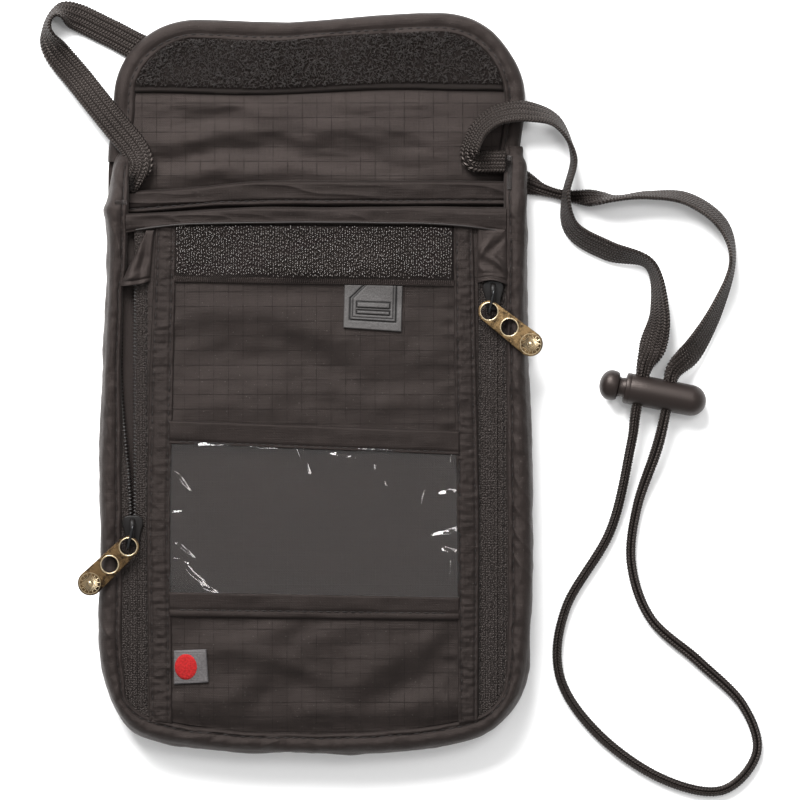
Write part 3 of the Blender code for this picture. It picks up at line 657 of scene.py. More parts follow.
def strap_route():
    """(x, y, lift off the ground, tilt in degrees, share of the full width), as in the CAD."""

    def at_hole(hole, across, lift, share):
        place = lock_place(hole, across)
        return (place[0], place[1], lift, 0, share)

    first, second = CORD_HOLES
    return [
        (-59.6, 90.2, 6.6, 0, 0.55), (-57.2, 94.6, 6.9, 0, 0.7), (-55.8, 99.2, 7.0, 0, 0.95),
        (-57.9, 104.0, 6.2, 0, 1), (-62.2, 109.4, 5.3, 0, 1), (-67.4, 115.8, 4.8, 0, 1),
        (-75.5, 126.0, 2.6, 0, 1), (-83.0, 135.2, 0, 20, 1), (-86.0, 142.5, 0, 72, 1),
        (-83.2, 147.9, 0, 70, 1), (-76.5, 146.5, 0, 10, 1), (-66.0, 141.5, 0, 0, 1),
        (-50.0, 133.9, 0, 0, 1), (-15.0, 121.6, 0, 0, 1), (25.0, 107.6, 0, 0, 1), (62.0, 95.2, 0, 0, 1),
        (74.7, 90.5, 0, 0, 0.43), (84.0, 88.5, 0, 0, 0.45), (96.0, 87.8, 0, 78, 1), (108.0, 88.9, 0, 76, 1),
        (120.7, 87.6, 0, 64, 1), (131.7, 79.7, 0, 64, 1), (135.1, 67.5, 0, 80, 1), (130.4, 53.0, 0, 64, 1),
        (123.0, 39.8, 0.5, 40, 1),
        at_hole(second, 8.0, 4.6, 0.6),
        at_hole(second, 0.0, 4.6, 0.37),
        at_hole(second, -8.0, 4.6, 0.37),
        (110.5, 6.5, 3.0, 0, 0.4), (104.4, -12.0, 0, 0, 0.34), (102.6, -30.0, 0, 0, 0.34),
        (108.9, -47.8, 0, 0, 0.34), (124.5, -61.8, 0, 0, 0.38), (138.6, -75.8, 0, 0, 0.34),
        (143.0, -91.3, 0, 0, 0.33), (131.6, -103.3, 0, 0, 0.33), (111.7, -99.1, 0, 0, 0.34),
        (91.4, -84.6, 0, 0, 0.36), (79.4, -66.0, 0, 0, 0.33), (81.5, -44.3, 0, 0, 0.33),
        (95.9, -19.2, 0, 0, 0.34), (102.3, 8.1, 3.0, 0, 0.34),
        at_hole(first, -8.0, 4.6, 0.37),
        at_hole(first, 0.0, 4.6, 0.37),
        at_hole(first, 8.0, 4.6, 0.6),
        (109.5, 40.5, 2.5, 15, 1), (111.6, 52.0, 0, 52, 1), (108.5, 66.4, 0, 72, 1), (95.1, 70.9, 0, 48, 1),
        (83.7, 77.6, 0.8, 56, 1), (81.3, 88.5, 2.4, 80, 1), (83.8, 101.0, 1.0, 84, 1),
        (78.6, 112.2, 1.5, 112, 1), (69.0, 115.6, 4.7, 138, 1), (60.0, 114.6, 5.0, 138, 1),
        (54.0, 110.4, 5.2, 132, 1), (50.8, 104.2, 5.6, 128, 1), (50.9, 100.9, 6.1, 146, 0.92),
        (53.2, 99.6, 6.6, 166, 0.85), (57.2, 99.4, 7.0, 180, 0.83), (62.0, 99.4, 7.4, 180, 0.83),
    ]


def build_strap():
    """The whole strap as one ribbon: 8 columns of braid on both faces, bunched up where it is narrow."""
    fine = spline(strap_route(), 40)
    count = int(run_of(fine[:, :3])[-1] / 0.26)
    fine = resample(fine, count)
    tilt = np.radians(fine[:, 3])
    share = np.clip(fine[:, 4], 0.32, 1.05)
    crowd = 1 - np.clip(share, 0, 1)
    half_w = HALF_WIDE * share
    half_t = HALF_THICK * (1 + 0.9 * crowd)
    rise = half_w * np.abs(np.sin(tilt)) + half_t * np.abs(np.cos(tilt))
    p = fine[:, :3].copy()
    p[:, 2] = 0.15 + np.maximum(fine[:, 2], 0) + rise
    for _ in range(12):
        p[1:-1, 2] = np.maximum(p[1:-1, 2], 0.25 * p[:-2, 2] + 0.5 * p[1:-1, 2] + 0.25 * p[2:, 2])
    t, side, top = frames_along(np.gradient(p, axis=0), (0.0, 0.0, 1.0))
    wide = side * np.cos(tilt)[:, None] + top * np.sin(tilt)[:, None]
    thick = np.cross(wide, t)
    run = run_of(p)
    half = 25
    u = np.concatenate([np.linspace(-1, 1, half), np.linspace(1, -1, half)[1:-1]])
    front = np.concatenate([np.ones(half), -np.ones(half - 2)])
    column = (u[None, :] * np.minimum(share, 1)[:, None] + 1) / 2 * BRAID_COLUMNS
    whole = np.floor(np.clip(column, 0, BRAID_COLUMNS - 1e-6))
    local = 2 * (column - whole) - 1
    lean = np.where(whole % 2 == 0, local, -local)
    phase = run[:, None] / BRAID_PITCH + 0.4 + 0.4 * lean
    groove = np.sqrt(np.clip(1 - local**2, 0, 1))
    stitch = 0.5 + 0.5 * np.cos(TAU * phase)
    relief = ((0.12 + 0.16 * stitch) * groove - 0.12) * (1 + 0.9 * crowd[:, None])
    dome = np.sqrt(np.clip(1 - np.abs(u) ** 4, 0, 1))
    tooth = 0.15 * np.cos(TAU * run[:, None] / BRAID_PITCH) * (np.abs(u)[None, :] > 0.93)
    across = half_w[:, None] * (u[None, :] * 0.985) + np.sign(u)[None, :] * tooth
    cup = 0.35 * crowd[:, None] * (1 - u[None, :] ** 2) * half_w[:, None] * 0.5
    depth = half_t[:, None] * (0.25 + 0.75 * dome[None, :]) * front[None, :]
    depth = depth + front[None, :] * relief * np.minimum(1.0, half_t[:, None]) + cup - cup.mean()
    points = p[:, None] + wide[:, None] * across[..., None] + thick[:, None] * depth[..., None]
    points[..., 2] = np.maximum(points[..., 2], 0.02)
    uv = grid_of(u[None, :] * HALF_WIDE * np.minimum(share, 1)[:, None], run[:, None])
    faces = capped_faces(len(p), len(u))
    mesh = mesh_of("strap_braid", points.reshape(-1, 3), faces, uv.reshape(-1, 2), 60)
    strap = tidy_normals(add_object("strap_braid", mesh, "pouch", BRAID))
    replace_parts(strap, "neck_strap")
    path = resample(p, 900) * MM
    return strap, path, run[-1] * MM


build_camera_and_light()
strap, strap_path, strap_length = build_strap()


# ---------------------------------------------------------------- cord lock


def lathe_points(profile, steps=56):
    """(points, faces) of a profile of (x, radius) turned about X. Ends on the axis are closed."""
    prof = np.asarray(profile, float)
    turn = np.arange(steps) * TAU / steps
    x, radius = prof[:, :1], prof[:, 1:]
    points = grid_of(x, radius * np.cos(turn), radius * np.sin(turn)).reshape(-1, 3)
    return points, capped_faces(len(prof), steps)


def arc_profile(cx, rx, ry, start, end, steps):
    a = np.radians(np.linspace(start, end, steps))
    return [(cx + rx * math.cos(t), max(ry * math.sin(t), 0.02)) for t in a]


def turned(points, angle):
    """Points turned about the vertical."""
    c, s = math.cos(angle), math.sin(angle)
    return np.asarray(points) @ np.array([[c, s, 0], [-s, c, 0], [0, 0, 1]])


def place_in_lock(points):
    return turned(points, LOCK_TURN) + LOCK_AT


def lock_moulding(name, profile):
    """A turned part of the lock, with its profile's x along the lock's axis."""
    points, faces = lathe_points(profile)
    mesh = mesh_of(name, place_in_lock(points), faces, sharp=35)
    return tidy_normals(add_object(name, mesh, None, LOCK))


def build_lock():
    """The hollow barrel and the plunger with its ball head, both with two slots for the strap."""
    profile = [(22.6, 0.02), (22.6, 3.7), (3.0, 3.72), (0.35, 3.75), (0.0, 3.95), (0.0, 4.5), (0.15, 4.78)]
    profile += [(0.5, 4.95), (1.4, 5.0), (1.7, 4.9), (2.0, 5.0), (8.0, 5.02), (16.0, 5.03), (20.5, 5.0)]
    profile += arc_profile(21.6, 5.0, 5.0, 90, 0, 14)
    barrel = lock_moulding("lock_barrel_moulding", profile)
    head = arc_profile(-4.6, 3.75, 4.9, 180, 92, 14)
    head += [(-4.2, 4.88), (-3.4, 4.8), (-2.6, 4.5), (-2.25, 4.1), (-2.15, 3.6), (-2.0, 3.2), (-1.4, 3.05)]
    head += [(-0.6, 3.2), (0.1, 3.4), (0.4, 3.45), (18.4, 3.45), (18.5, 3.3), (18.5, 0.02)]
    button = lock_moulding("lock_button_moulding", head)
    for hole in CORD_HOLES:
        for target, low in ((barrel, hole - 2.1), (button, hole - 4.1)):
            high = hole + 2.1
            a = np.arange(28) * TAU / 28
            middle, reach = (low + high) / 2, (high - low) / 2
            ring = np.column_stack([middle + reach * np.cos(a), np.zeros(28), 2.3 * np.sin(a)])
            drill(target, ring, np.array([0, 9, 0]), place_in_lock)
            target.data.set_sharp_from_angle(angle=math.radians(35))
    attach(barrel, "cord_lock")
    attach(button, "lock_button")
    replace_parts(barrel, "lock_barrel")
    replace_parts(button, "lock_plunger")
    return barrel, button


barrel, button = build_lock()
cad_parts["lock_spring"].data.materials.clear()
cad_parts["lock_spring"].data.materials.append(STEEL)


# ---------------------------------------------------------------- pouch: front

BODY_BOTTOM = -90.2

FRONT_FOLDS = (
    (-27, 22, 6, 20, 7, 1.1), (0, 46, -18, 22, 6, 1.1), (34, 22, 10, 18, 5, 1.0), (40, 37, 18, 10, 4, 0.8),
    (-36, 50, 8, 14, 4.5, 0.8), (12, 31, -14, 26, 5, -0.8), (-18, 37, 4, 24, 5, -0.7),
    (-8, 57, 3, 30, 3.5, -0.5), (-22, -57, 5, 24, 5, 1.2), (24, -60, 38, 17, 5, 1.2),
    (33, -67, 25, 12, 5, -1.0), (2, -70, -8, 24, 6, -0.8), (6, -79, 4, 24, 3.5, 1.0),
    (-6, -63, -22, 14, 3.5, 0.8), (38, -54, 60, 10, 3, 0.9), (-30, -74, 20, 14, 4, 0.8),
)


def front_z(x, y):
    """Height of the front's surface: a shallow pillow with soft wrinkles, flat near its zips."""
    fx = np.clip(1 - (np.abs(x) / 53.0) ** 4, 0, 1)
    fy = step(-83, -72, y) * (1 - step(62, 76, y))
    window = hump(-42, 9, y, 5)
    soft = 0.55 * field(x / 17, y / 12, 3) + 0.3 * field((x + 0.6 * y) / 8, (y - 0.4 * x) / 6, 5)
    lower = (1 - step(-52, -46, y)) * 0.7 * field((x - 1.2 * y) / 13, (y + 0.5 * x) / 17, 8)
    folds = ridges(x, y, FRONT_FOLDS)
    return 14.4 + fx * fy * (1.2 + (soft + lower + folds) * (1 - 0.75 * window))


def panel(name, corners, counts, base, height, radius, look, nodes, thick, relief, crowd=0.6, bend=None):
    """A patch with rounded edges sewn on the front. bend(y) gives the x of both its sides."""
    us, vs = spaced(counts[0], crowd), spaced(counts[1], crowd)
    x, y = quad_grid(corners, us, vs)
    u, v = lattice(us, vs)
    wide, tall = math.dist(corners[0], corners[1]), math.dist(corners[1], corners[2])
    if bend is not None:
        near, far = bend(y)
        x, wide = near + (far - near) * x, float(np.mean(far - near))
    away = np.minimum(np.minimum(u, 1 - u) * wide, np.minimum(v, 1 - v) * tall)
    z = front_z(x, y) + base + height * edge_round(away, radius)
    z = z + relief(x, y, u, v) * edge_round(away, radius * 1.5)
    material, slot = look
    made = shell(name, grid_of(x, y, z), thick, material, "pouch")
    if nodes:
        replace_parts(made, *nodes)


def front_edge_y(x):
    """The curved seam along the bottom of the front."""
    return -84.3 + 5.6 * (np.abs(x) / 53.5) ** 2.2


def left_strip_edges(y):
    near = np.interp(y, [-80, -70, -16, 30, 71, 79], [-52.6, -52.8, -53.4, -52.6, -50.8, -50.6])
    return near, np.interp(y, [-70, -16, 71], [-45.1, -45.6, -43.9])


def right_strip_edges(y):
    far = np.interp(y, [-80, -16, 60, 79], [53.0, 53.4, 51.9, 51.3])
    return np.interp(y, [-80, -16, 71], [46.7, 45.9, 45.0]), far


def build_front():
    u, v = lattice(np.linspace(0, 1, 190), np.linspace(0, 1, 270))
    x = -53 + 106 * u
    low = front_edge_y(x)
    y = low + (80.0 - low) * v
    seam = bell(y - low, 2.5)
    z = front_z(x, y) + 0.07 * field(x / 3, y / 3, 11) + 0.05 * field(x / 9, y / 1.3, 12) - 0.5 * seam
    z = z + 0.45 * bell(y - low - 4, 6) * crease((x + 0.3 * y) / 5, y / 16, 14)
    z = z + bell(44.3 - np.abs(x), 3.0) * 0.3 * field(x / 8, y / 2.4, 15)
    made = shell("front_ripstop", grid_of(x, y, z), 0.5, RIPSTOP, "pouch")
    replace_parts(made, "front_panel")

    seams = (0.17, 0.83)

    def puckers(seed):
        def relief(x, y, u, v):
            wander = 0.9 * field(x / 7, y / 7, seed)
            rung = 0.5 + 0.5 * np.cos(TAU * (y + wander) / 2.6)
            some = 0.25 + 0.75 * step(-0.3, 0.5, field(x / 12, y / 3.4, seed + 1))
            pillow = 0.26 * rung * some * np.sin(math.pi * np.clip((u - 0.1) / 0.8, 0, 1))
            rows = -0.3 * (bell((u - seams[0]) * 8, 0.5) + bell((u - seams[1]) * 8, 0.5))
            lumps = 0.2 * field(x / 7, y / 4, seed + 2) + 0.16 * field(x / 2.2, y / 1.5, seed + 3)
            return pillow + rows + lumps + 0.08 * field(x / 1.0, y / 0.9, seed + 4)

        return relief

    rows = []
    for side, name, bend in ((-1, "left", left_strip_edges), (1, "right", right_strip_edges)):
        corners = [(0, -80.3), (1, -81.2), (1, 79.3), (0, 79.0)]
        if name == "right":
            corners = [(0, -81.2), (1, -80.3), (1, 78.8), (0, 79.2)]
        panel(
            f"{name}_topstitched_strip", corners, (30, 520), 0.1, 0.75, 0.9,
            (STRIP, "binding"), [f"{name}_strip"], 0.5, puckers(21 + side), bend=bend,
        )
        for share in seams:
            ys = np.linspace(-79, 77.5, 160)
            near, far = bend(ys)
            xx = near + (far - near) * share + 0.15 * field(ys / 9, ys * 0, 31)
            rows += stitches(np.column_stack([xx, ys, front_z(xx, ys) + 0.56]), 2.6, 1.7, 0.16)
    merged("strip_stitches", rows, THREAD, "pouch")


def line(p, q):
    """A straight seam as a function of x, through two points."""
    return lambda x: p[1] + (q[1] - p[1]) * (np.asarray(x, float) - p[0]) / (q[0] - p[0])


VINYL_FOLDS = (
    (-42.3, -3.5, -52, 4.2, 0.83, 0.54), (-43.6, -13.5, 15, 2.4, 0.75, 0.48),
    (-42, -25, -38, 4.5, 0.68, 0.54), (-41.5, -28.5, -15, 4.5, 0.68, -0.36),
    (-40, -32.5, -42, 7, 1.05, 0.6), (-36, -37.5, -20, 6, 0.83, 0.42), (-33, 8, 5, 5, 1, 0.6),
    (-18, 7.5, -6, 5.5, 1, 0.7), (-4.5, 4.5, -68, 5, 1.4, 0.9), (9, 4.5, -8, 5, 1, 0.6),
    (43.6, 0.5, 82, 5, 0.8, 0.8), (42.5, -7.5, 10, 2.6, 1, 0.8), (34, -12.5, 74, 6, 1.2, 0.9),
    (41.5, -20.5, 12, 4, 1, 0.8), (43, -26, -10, 2.2, 0.9, 0.7), (43.8, -34, 86, 4.6, 0.8, 0.8),
    (20, -2, -66, 7, 1.8, 0.5),
)


def between(left, right, low, high):
    """The corners of a patch between two seams."""
    return [(left, low(left)), (right, low(right)), (right, high(right)), (left, high(left))]


def build_window():
    """The bands above and below the window and the clear film, tucked in under both."""
    tuck, left, right = 1.5, -46.4, 47.2
    top_hi, top_lo = line((-46, 16.3), (46, 12.9)), line((-46, 8.6), (46, 5.0))
    low_hi, low_lo = line((-46, -38.6), (46, -40.3)), line((-46, -46.8), (46, -47.8))

    def folded(seed, stitch_at):
        def relief(x, y, u, v):
            ripple = 0.16 * field(x / 9, y / 3, seed) + 0.1 * field(x / 2.6, y / 5, seed + 1)
            return ripple - 0.3 * bell((v - stitch_at) * 8, 0.5)

        return relief

    bands = (
        ("window_top_hem", top_hi, top_lo, 41, 0.14, ["window_top_band"]),
        ("window_bottom_hem", low_hi, low_lo, 43, 0.3, ["window_bottom_band"]),
    )
    rows = []
    for name, high, low, seed, stitch_at, nodes in bands:
        corners = between(left, right, low, high)
        panel(name, corners, (190, 26), 0.2, 0.95, 0.8, (HEM, "binding"), nodes, 0.6, folded(seed, stitch_at))
        xs = np.linspace(-43, 44, 120)
        ys = low(xs) + (high(xs) - low(xs)) * stitch_at
        rows += stitches(np.column_stack([xs, ys, front_z(xs, ys) + 0.9]), 2.6, 1.8, 0.16)
    merged("window_stitches", rows, THREAD, "pouch")

    us, vs = np.linspace(0, 1, 360), np.linspace(0, 1, 200)
    x, y = quad_grid(between(left, right, lambda x: low_hi(x) - tuck, lambda x: top_lo(x) + tuck), us, vs)
    u, v = lattice(us, vs)
    waves = 0.42 * field(x / 18, y / 14, 51) + 0.1 * field((x + y) / 9, (y - x) / 16, 52)
    ends = bell(u, 0.05) + bell(1 - u, 0.05)
    crinkle = 0.12 * ends * field(x / 3.5, y / 3.1, 54)
    inside = edge_round(np.minimum(np.minimum(u, 1 - u) * 90, np.minimum(v, 1 - v) * 48), 1.2)
    z = front_z(x, y) + 0.45 + inside * (0.25 + waves + crinkle + ridges(x, y, VINYL_FOLDS))
    sheet = shell("window_clear_vinyl", grid_of(x, y, z), 0.22, VINYL, "pouch", sharp=None)
    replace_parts(sheet, "window_vinyl")


def bristle(x, y, z, turn, out, up):
    """The points of a bristle that stands at (x, y, z) and leans towards turn."""
    return np.column_stack([x + out * math.cos(turn), y + out * math.sin(turn), z + up])


def build_hook_strip():
    """Hook tape with its ribbed selvedge along the lower edge, and rows of separate hooks."""
    left, right = -44.4, 45.0
    hi, lo = line((left, 79.2), (right, 78.6)), line((left, 60.6), (right, 59.2))

    def ground(x, y, u, v):
        return 0.05 * field(x / 6, y / 4, 61)

    panel(
        "hook_tape_base", between(left, right, lo, hi), (200, 40), 0.2, 0.7, 0.6,
        (TAPE_BASE, "hook_tape"), ["front_hook_strip"], 0.7, ground,
    )

    def ribs(x, y, u, v):
        return 0.16 * np.sin(TAU * (x + 0.15 * y) / 0.62) + 0.2 * field(x / 14, y / 6, 62)

    panel(
        "hook_tape_selvedge", between(-44.6, 45.2, lo, lambda x: lo(x) + 2.0), (620, 12), 0.2, 0.72, 0.3,
        (SELVEDGE, "hook_tape"), None, 0.4, ribs, crowd=0.0,
    )
    rng = random.Random(7)
    hooks = []
    for i in range(112):
        for j in range(24):
            x = -43.5 + i * 0.79 + rng.uniform(-0.17, 0.17)
            y = 62.3 + j * 0.72 + (0.36 if i % 2 else 0.0) + rng.uniform(-0.17, 0.17)
            if y > hi(x) - 0.7 or y < lo(x) + 2.5:
                continue
            base = float(front_z(x, y)) + 0.8
            turn = math.pi / 2 + rng.uniform(-0.5, 0.5) + (math.pi if rng.random() < 0.35 else 0)
            reach, tall = rng.uniform(0.26, 0.4), rng.uniform(0.7, 1.05)
            a = np.linspace(0, 2.6, 5)
            out, up = reach * (1 - np.cos(a)) / 1.6, tall * np.sin(np.minimum(a, 2.2))
            hooks.append(tube(bristle(x, y, base - 0.15, turn, out, up), rng.uniform(0.1, 0.15), 4))
    # The hooks take the lighter hook colour, which paints their glints.
    merged("hook_bristles", hooks, HOOK_PAINTED_GLINT, "pouch")


def build_rubber_patch():
    """A blank badge: a double raised border with its top left corner cut off, and two plain bars."""
    corners = [(9.7, 45.9), (28.4, 44.6), (28.8, 59.4), (10.1, 59.8)]
    us, vs = np.linspace(0, 1, 150), np.linspace(0, 1, 110)
    x, y = quad_grid(corners, us, vs)
    u, v = lattice(us, vs)
    w, h, cut = 19.0, 14.4, 3.4
    dx, dy = u * w, v * h

    def inside(margin, low):
        """How far in from a frame with its top left corner cut off."""
        d = np.minimum(np.minimum(dx - margin, w - margin - dx), dy - low)
        slant = ((dx - margin) - (dy - (h - 1.0 - cut))) / math.sqrt(2)
        return np.minimum(d, np.minimum(slant, h + 2 - dy))

    def bar(x0, x1, y0, y1):
        return np.minimum(np.minimum(dx - x0, x1 - dx), np.minimum(dy - y0, y1 - dy))

    frame_1, frame_2 = inside(2.0, 2.9), inside(2.9, 3.8)
    groove = bell(frame_1, 0.26) + 0.7 * bell(frame_2, 0.22)
    bars = np.maximum(bar(4.2, 15.0, 7.0, 8.9), bar(4.2, 15.0, 4.9, 6.2))
    groove = np.clip(groove + 0.9 * bell(bars, 0.24), 0, 1)
    away = np.minimum(np.minimum(dx, w - dx), np.minimum(dy, h - dy))
    relief = 0.85 * edge_round(away, 0.35) + 0.25 * step(-0.2, 0.5, frame_1) + 0.25 * step(-0.1, 0.3, bars)
    relief = relief - 0.4 * groove + 0.03 * field(x * 1.4, y * 1.4, 71)
    z = front_z(x, y) + 0.15 + relief - 0.25 * (u - 0.5) ** 2
    made = shell("rubber_badge", grid_of(x, y, z), 0.9, None, "pouch", sharp=40)
    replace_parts(made, "rubber_patch")
    tone = made.data.color_attributes.new("groove", "FLOAT_COLOR", "POINT")
    dark = groove.ravel()
    dark = np.concatenate([dark, dark * 0])
    tone.data.foreach_set("color", np.column_stack([dark, dark, dark, np.ones_like(dark)]).ravel())
    m = Nodes("badge_rubber", (0.03, 0.028, 0.028), 0.5, Specular_IOR_Level=0.3)
    grain = m.noise(m.coords("Object"), 3.5, 4.0, 0.65)
    dark_at = m.add("Attribute", "Fac", {"attribute_name": "groove"})
    body = m.mix(m.ramp(grain, 0.3, 0.7), (0.026, 0.024, 0.0235), (0.068, 0.063, 0.061))
    m.set("Base Color", m.mix(dark_at, body, (0.003, 0.0028, 0.0028)))
    m.set("Normal", m.bump(grain, 0.00014))
    made.data.materials.append(m.made)


def build_label():
    """A plain woven label with a plain red disc."""
    corners = [(-44.6, -68.4), (-33.4, -67.7), (-34.1, -57.0), (-44.6, -57.5)]

    def curl(x, y, u, v):
        return 0.35 * u**2 + 0.06 * np.sin(TAU * y / 0.7)

    panel("woven_side_label", corners, (36, 40), 0.3, 0.5, 0.4, (LABEL, "label"), ["side_label"], 0.35, curl)
    disc_x, disc_y, radius = -40.6, -62.7, 3.7
    turn, share = np.linspace(0, TAU, 41)[:-1], np.linspace(0.02, 1, 9)
    r, a = lattice(radius * share, turn)
    x, y = disc_x + r * np.cos(a), disc_y + 1.12 * r * np.sin(a)
    z = front_z(x, y) + 0.86 + 0.2 * edge_round(radius - r, 0.5)
    points = np.vstack([grid_of(x, y, level).reshape(-1, 3) for level in (z, z - 0.4)])
    n = len(points) // 2
    faces = grid_faces(len(share), len(turn), close_v=True)
    faces += [tuple(n + k for k in reversed(f)) for f in faces]
    rim_at = (len(share) - 1) * len(turn)
    for k in range(len(turn)):
        j = (k + 1) % len(turn)
        faces.append((rim_at + k, n + rim_at + k, n + rim_at + j, rim_at + j))
    faces.append(tuple(reversed(range(len(turn)))))
    faces.append(tuple(n + k for k in range(len(turn))))
    tidy_normals(merged("label_woven_disc", [(points, faces)], LABEL_RED, "pouch"))


build_front()
build_window()
build_hook_strip()
build_rubber_patch()
build_label()


# ---------------------------------------------------------------- pouch: sides and back

# each side: its sign, (y, x) of the outer edge, (y, x) of the inner seam, and the outer edge's lower corner
LEFT_OUTLINE = (
    -1,
    ([-50, 0, 40, 60, 72, 80, 84, 87, 98, 102.2], [68.7, 68.4, 67.0, 65.9, 65.4, 66.1, 66.9, 65.3, 64.4, 62.4]),
    ([-50, -20, 40, 58, 65, 102.2], [61.3, 61.2, 61.8, 61.4, 59.9, 59.2]),
    [(68.7, -50), (68.3, -58), (66.9, -66), (64.3, -74), (59.2, -81.7), (52, -85.6), (40, -88.1), (20, -89.9)],
)
RIGHT_OUTLINE = (
    1,
    ([-50, -33, -9, 7, 23, 55, 79, 101, 104.6], [69.6, 70.3, 70.3, 69.8, 68.9, 68.1, 68.5, 68.6, 67.4]),
    ([-50, 104.6], [62.5, 61.6]),
    [(69.6, -50), (69.1, -58), (68.0, -66), (65.2, -74), (59.3, -81.5), (51, -85.9), (38, -88.7), (20, -90.2)],
)


def outline_pair(count):
    """Matching points on the pouch's outer edge and on the binding's inner seam, left top to right top."""
    halves = []
    for side, (out_y, out_x), (in_y, in_x), knots in (LEFT_OUTLINE, RIGHT_OUTLINE):
        ys = np.linspace(out_y[-1], -50, 70)
        out_x = np.interp(ys, out_y, out_x)
        in_x = np.interp(ys, in_y, in_x)
        for _ in range(2):
            out_x[1:-1] = (out_x[:-2] + 2 * out_x[1:-1] + out_x[2:]) / 4
        corner_out = resample(spline(knots + [(0, BODY_BOTTOM)]), 90)
        last = in_x[-1]
        corner_in = [(last, -50), (last - 0.2, -60), (last - 1.1, -67), (59.9, -72.5), (56.5, -76.8)]
        corner_in = resample(spline(corner_in + [(50.5, -79.6), (38, -82.0), (20, -83.8), (0, -84.3)]), 90)
        halves.append([
            np.vstack([np.column_stack([x, ys])[:-1], corner]) * [side, 1]
            for x, corner in ((out_x, corner_out), (in_x, corner_in))
        ])
    outer, inner = (np.vstack([left[:-1], right[::-1]]) for left, right in zip(*halves))
    run = run_of(outer)
    at = np.linspace(0, run[-1], count)
    return pick(outer, run, at), pick(inner, run, at), at


def profile_uv(s, across, rise):
    """UVs that run along a seam and over its profile, from the profile's steps."""
    gone = np.concatenate([[0], np.cumsum(np.hypot(across, rise))])
    return grid_of(s, gone[None, :])


def build_rim():
    """The gussets and the rolled binding along the front edge, as one piece of cloth with a piped seam."""
    outer, inner, along = outline_pair(900)
    normal = unit(smoothed(sideways(outer), 24))
    knots = [
        (-0.05, 0.0, 13.0), (0.0, 0.0, 14.35), (0.08, 0.0, 15.0), (0.18, 0.0, 15.0), (0.25, 0.0, 14.75),
        (0.34, 0.0, 15.25), (0.52, 0.0, 15.55), (0.7, 0.0, 15.3), (0.88, 0.0, 14.3), (0.98, 0.0, 12.9),
        (1.0, 0.25, 11.4), (1.0, 0.55, 8.4), (1.0, 0.45, 5.2), (1.0, 0.1, 2.7), (1.0, -0.35, 1.45),
        (1.0, 0.05, 1.0), (1.0, -0.5, 0.45), (1.0, -2.5, 0.25), (1.0, -5.0, 0.25),
    ]
    w, extra, z = spline(knots, 6).T
    y_out = outer[:, 1][:, None]
    lower = 1 - 0.42 * step(84, 100, y_out) - 0.2 * step(99, 104, y_out)
    xy = inner[:, None] + (outer - inner)[:, None] * w[None, :, None] + normal[:, None] * extra[None, :, None]
    s = along[:, None]
    lane = np.arange(len(w))[None, :] / len(w)
    left = outer[:, 0][:, None] < 0
    face = hump(0.1, 0.48, lane, 0.1)
    wall = hump(0.5, 0.8, lane, 0.08)
    low_edge = 1 - step(-72, -62, y_out)
    pucker = 0.3 * field(s / 6, lane * 4, 81) + 0.16 * field(s / 2.2, lane * 8, 82)
    creases = 0.35 * (crease((s + 30 * lane) / 8, lane * 3, 87) - 0.25) * (1 - 0.5 * low_edge)
    pucker = pucker + 0.13 * field(s / 1.7, lane * 14, 89) + creases
    sag = 0.55 * field(s / 17, lane * 3, 83) + 0.25 * field(s / 7, lane * 5, 84)
    push = pucker * face + sag * wall + 0.1 * field(s / 2.5, lane * 9, 85) * wall
    bump_left = left * bell(y_out - 83.8, 2.0) * 0.7
    notch = (1 - left) * bell(y_out - 101.5, 1.6) * -0.7
    edge = step(0.25, 0.5, lane)
    across = push * wall + (bump_left + notch) * edge + 0.3 * field(s / 22, lane * 0, 86) * edge
    across = across + 0.25 * field(s / 9, lane * 0, 88) * (1 - edge)
    xy = xy + normal[:, None] * across[..., None]
    height = np.broadcast_to(z[None, :], push.shape) * np.where(z[None, :] > 2.0, lower, 1.0)
    height = height + push * face + 0.5 * bump_left * face
    height = np.maximum(height, 0.15)
    top = np.concatenate([xy, height[..., None]], axis=2)
    uv = profile_uv(s, np.diff(w) * 7, np.hypot(np.diff(extra), np.diff(z)))
    made = shell("side_gusset_and_binding", top, 0.5, BINDING, "pouch", uv=uv, flip=True)
    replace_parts(made, "left_gusset", "right_gusset", "bottom_gusset", "edge_binding")
    seam = int(np.argmin(np.abs(w[: len(w) // 2] - 0.24)))
    rows = stitches(top[6:-6, seam] + [0, 0, 0.02], 2.8, 1.9, 0.16)
    merged("binding_stitches", rows, THREAD, "pouch")
    face_w, faces_at = w[:40], top[:, :40]
    at = int(np.argmin(np.abs(outer[:400, 1] - 86.0)))
    across = zigzag(pick(faces_at[at], face_w, np.linspace(0.04, 0.92, 34)), 0.7, axis=1) + [0, 0, 0.25]
    tab = [k for k in range(450, 900) if 90.0 < outer[k, 1] < 101.5]
    down = zigzag(resample(faces_at[tab, int(np.argmin(np.abs(face_w - 0.2)))], 70), 0.8) + [0, 0, 0.3]
    merged("gusset_bartack", [tube(across, 0.16, 5), tube(down, 0.16, 5)], THREAD_LIGHT, "pouch")


FLAP_HALF, CORNER_Y = 66.3, 119.8


def corner_half(gone, high, flat, wide):
    """Half the width past the start of a rounded corner: flat + wide, down to flat."""
    return flat + wide * np.sqrt(np.clip(1 - (np.clip(gone, 0, high - 0.1) / high) ** 2, 0, 1))


def body_half(y):
    """Half the width of the pouch and flap, as one sheet of cloth, at a height."""
    y = np.asarray(y, float)
    side = np.interp(y, [-60, 99.7], [68.6, 66.6])
    flap = np.minimum(FLAP_HALF, corner_half(y - CORNER_Y, 26.0, 38, 28.2))
    upper = np.where(y < 104, side + (flap - side) * step(96, 104, y), flap)
    return np.where(y < -60, corner_half(-60 - y, 30.0, 25, 43.6), np.where(y < 96, side, upper))


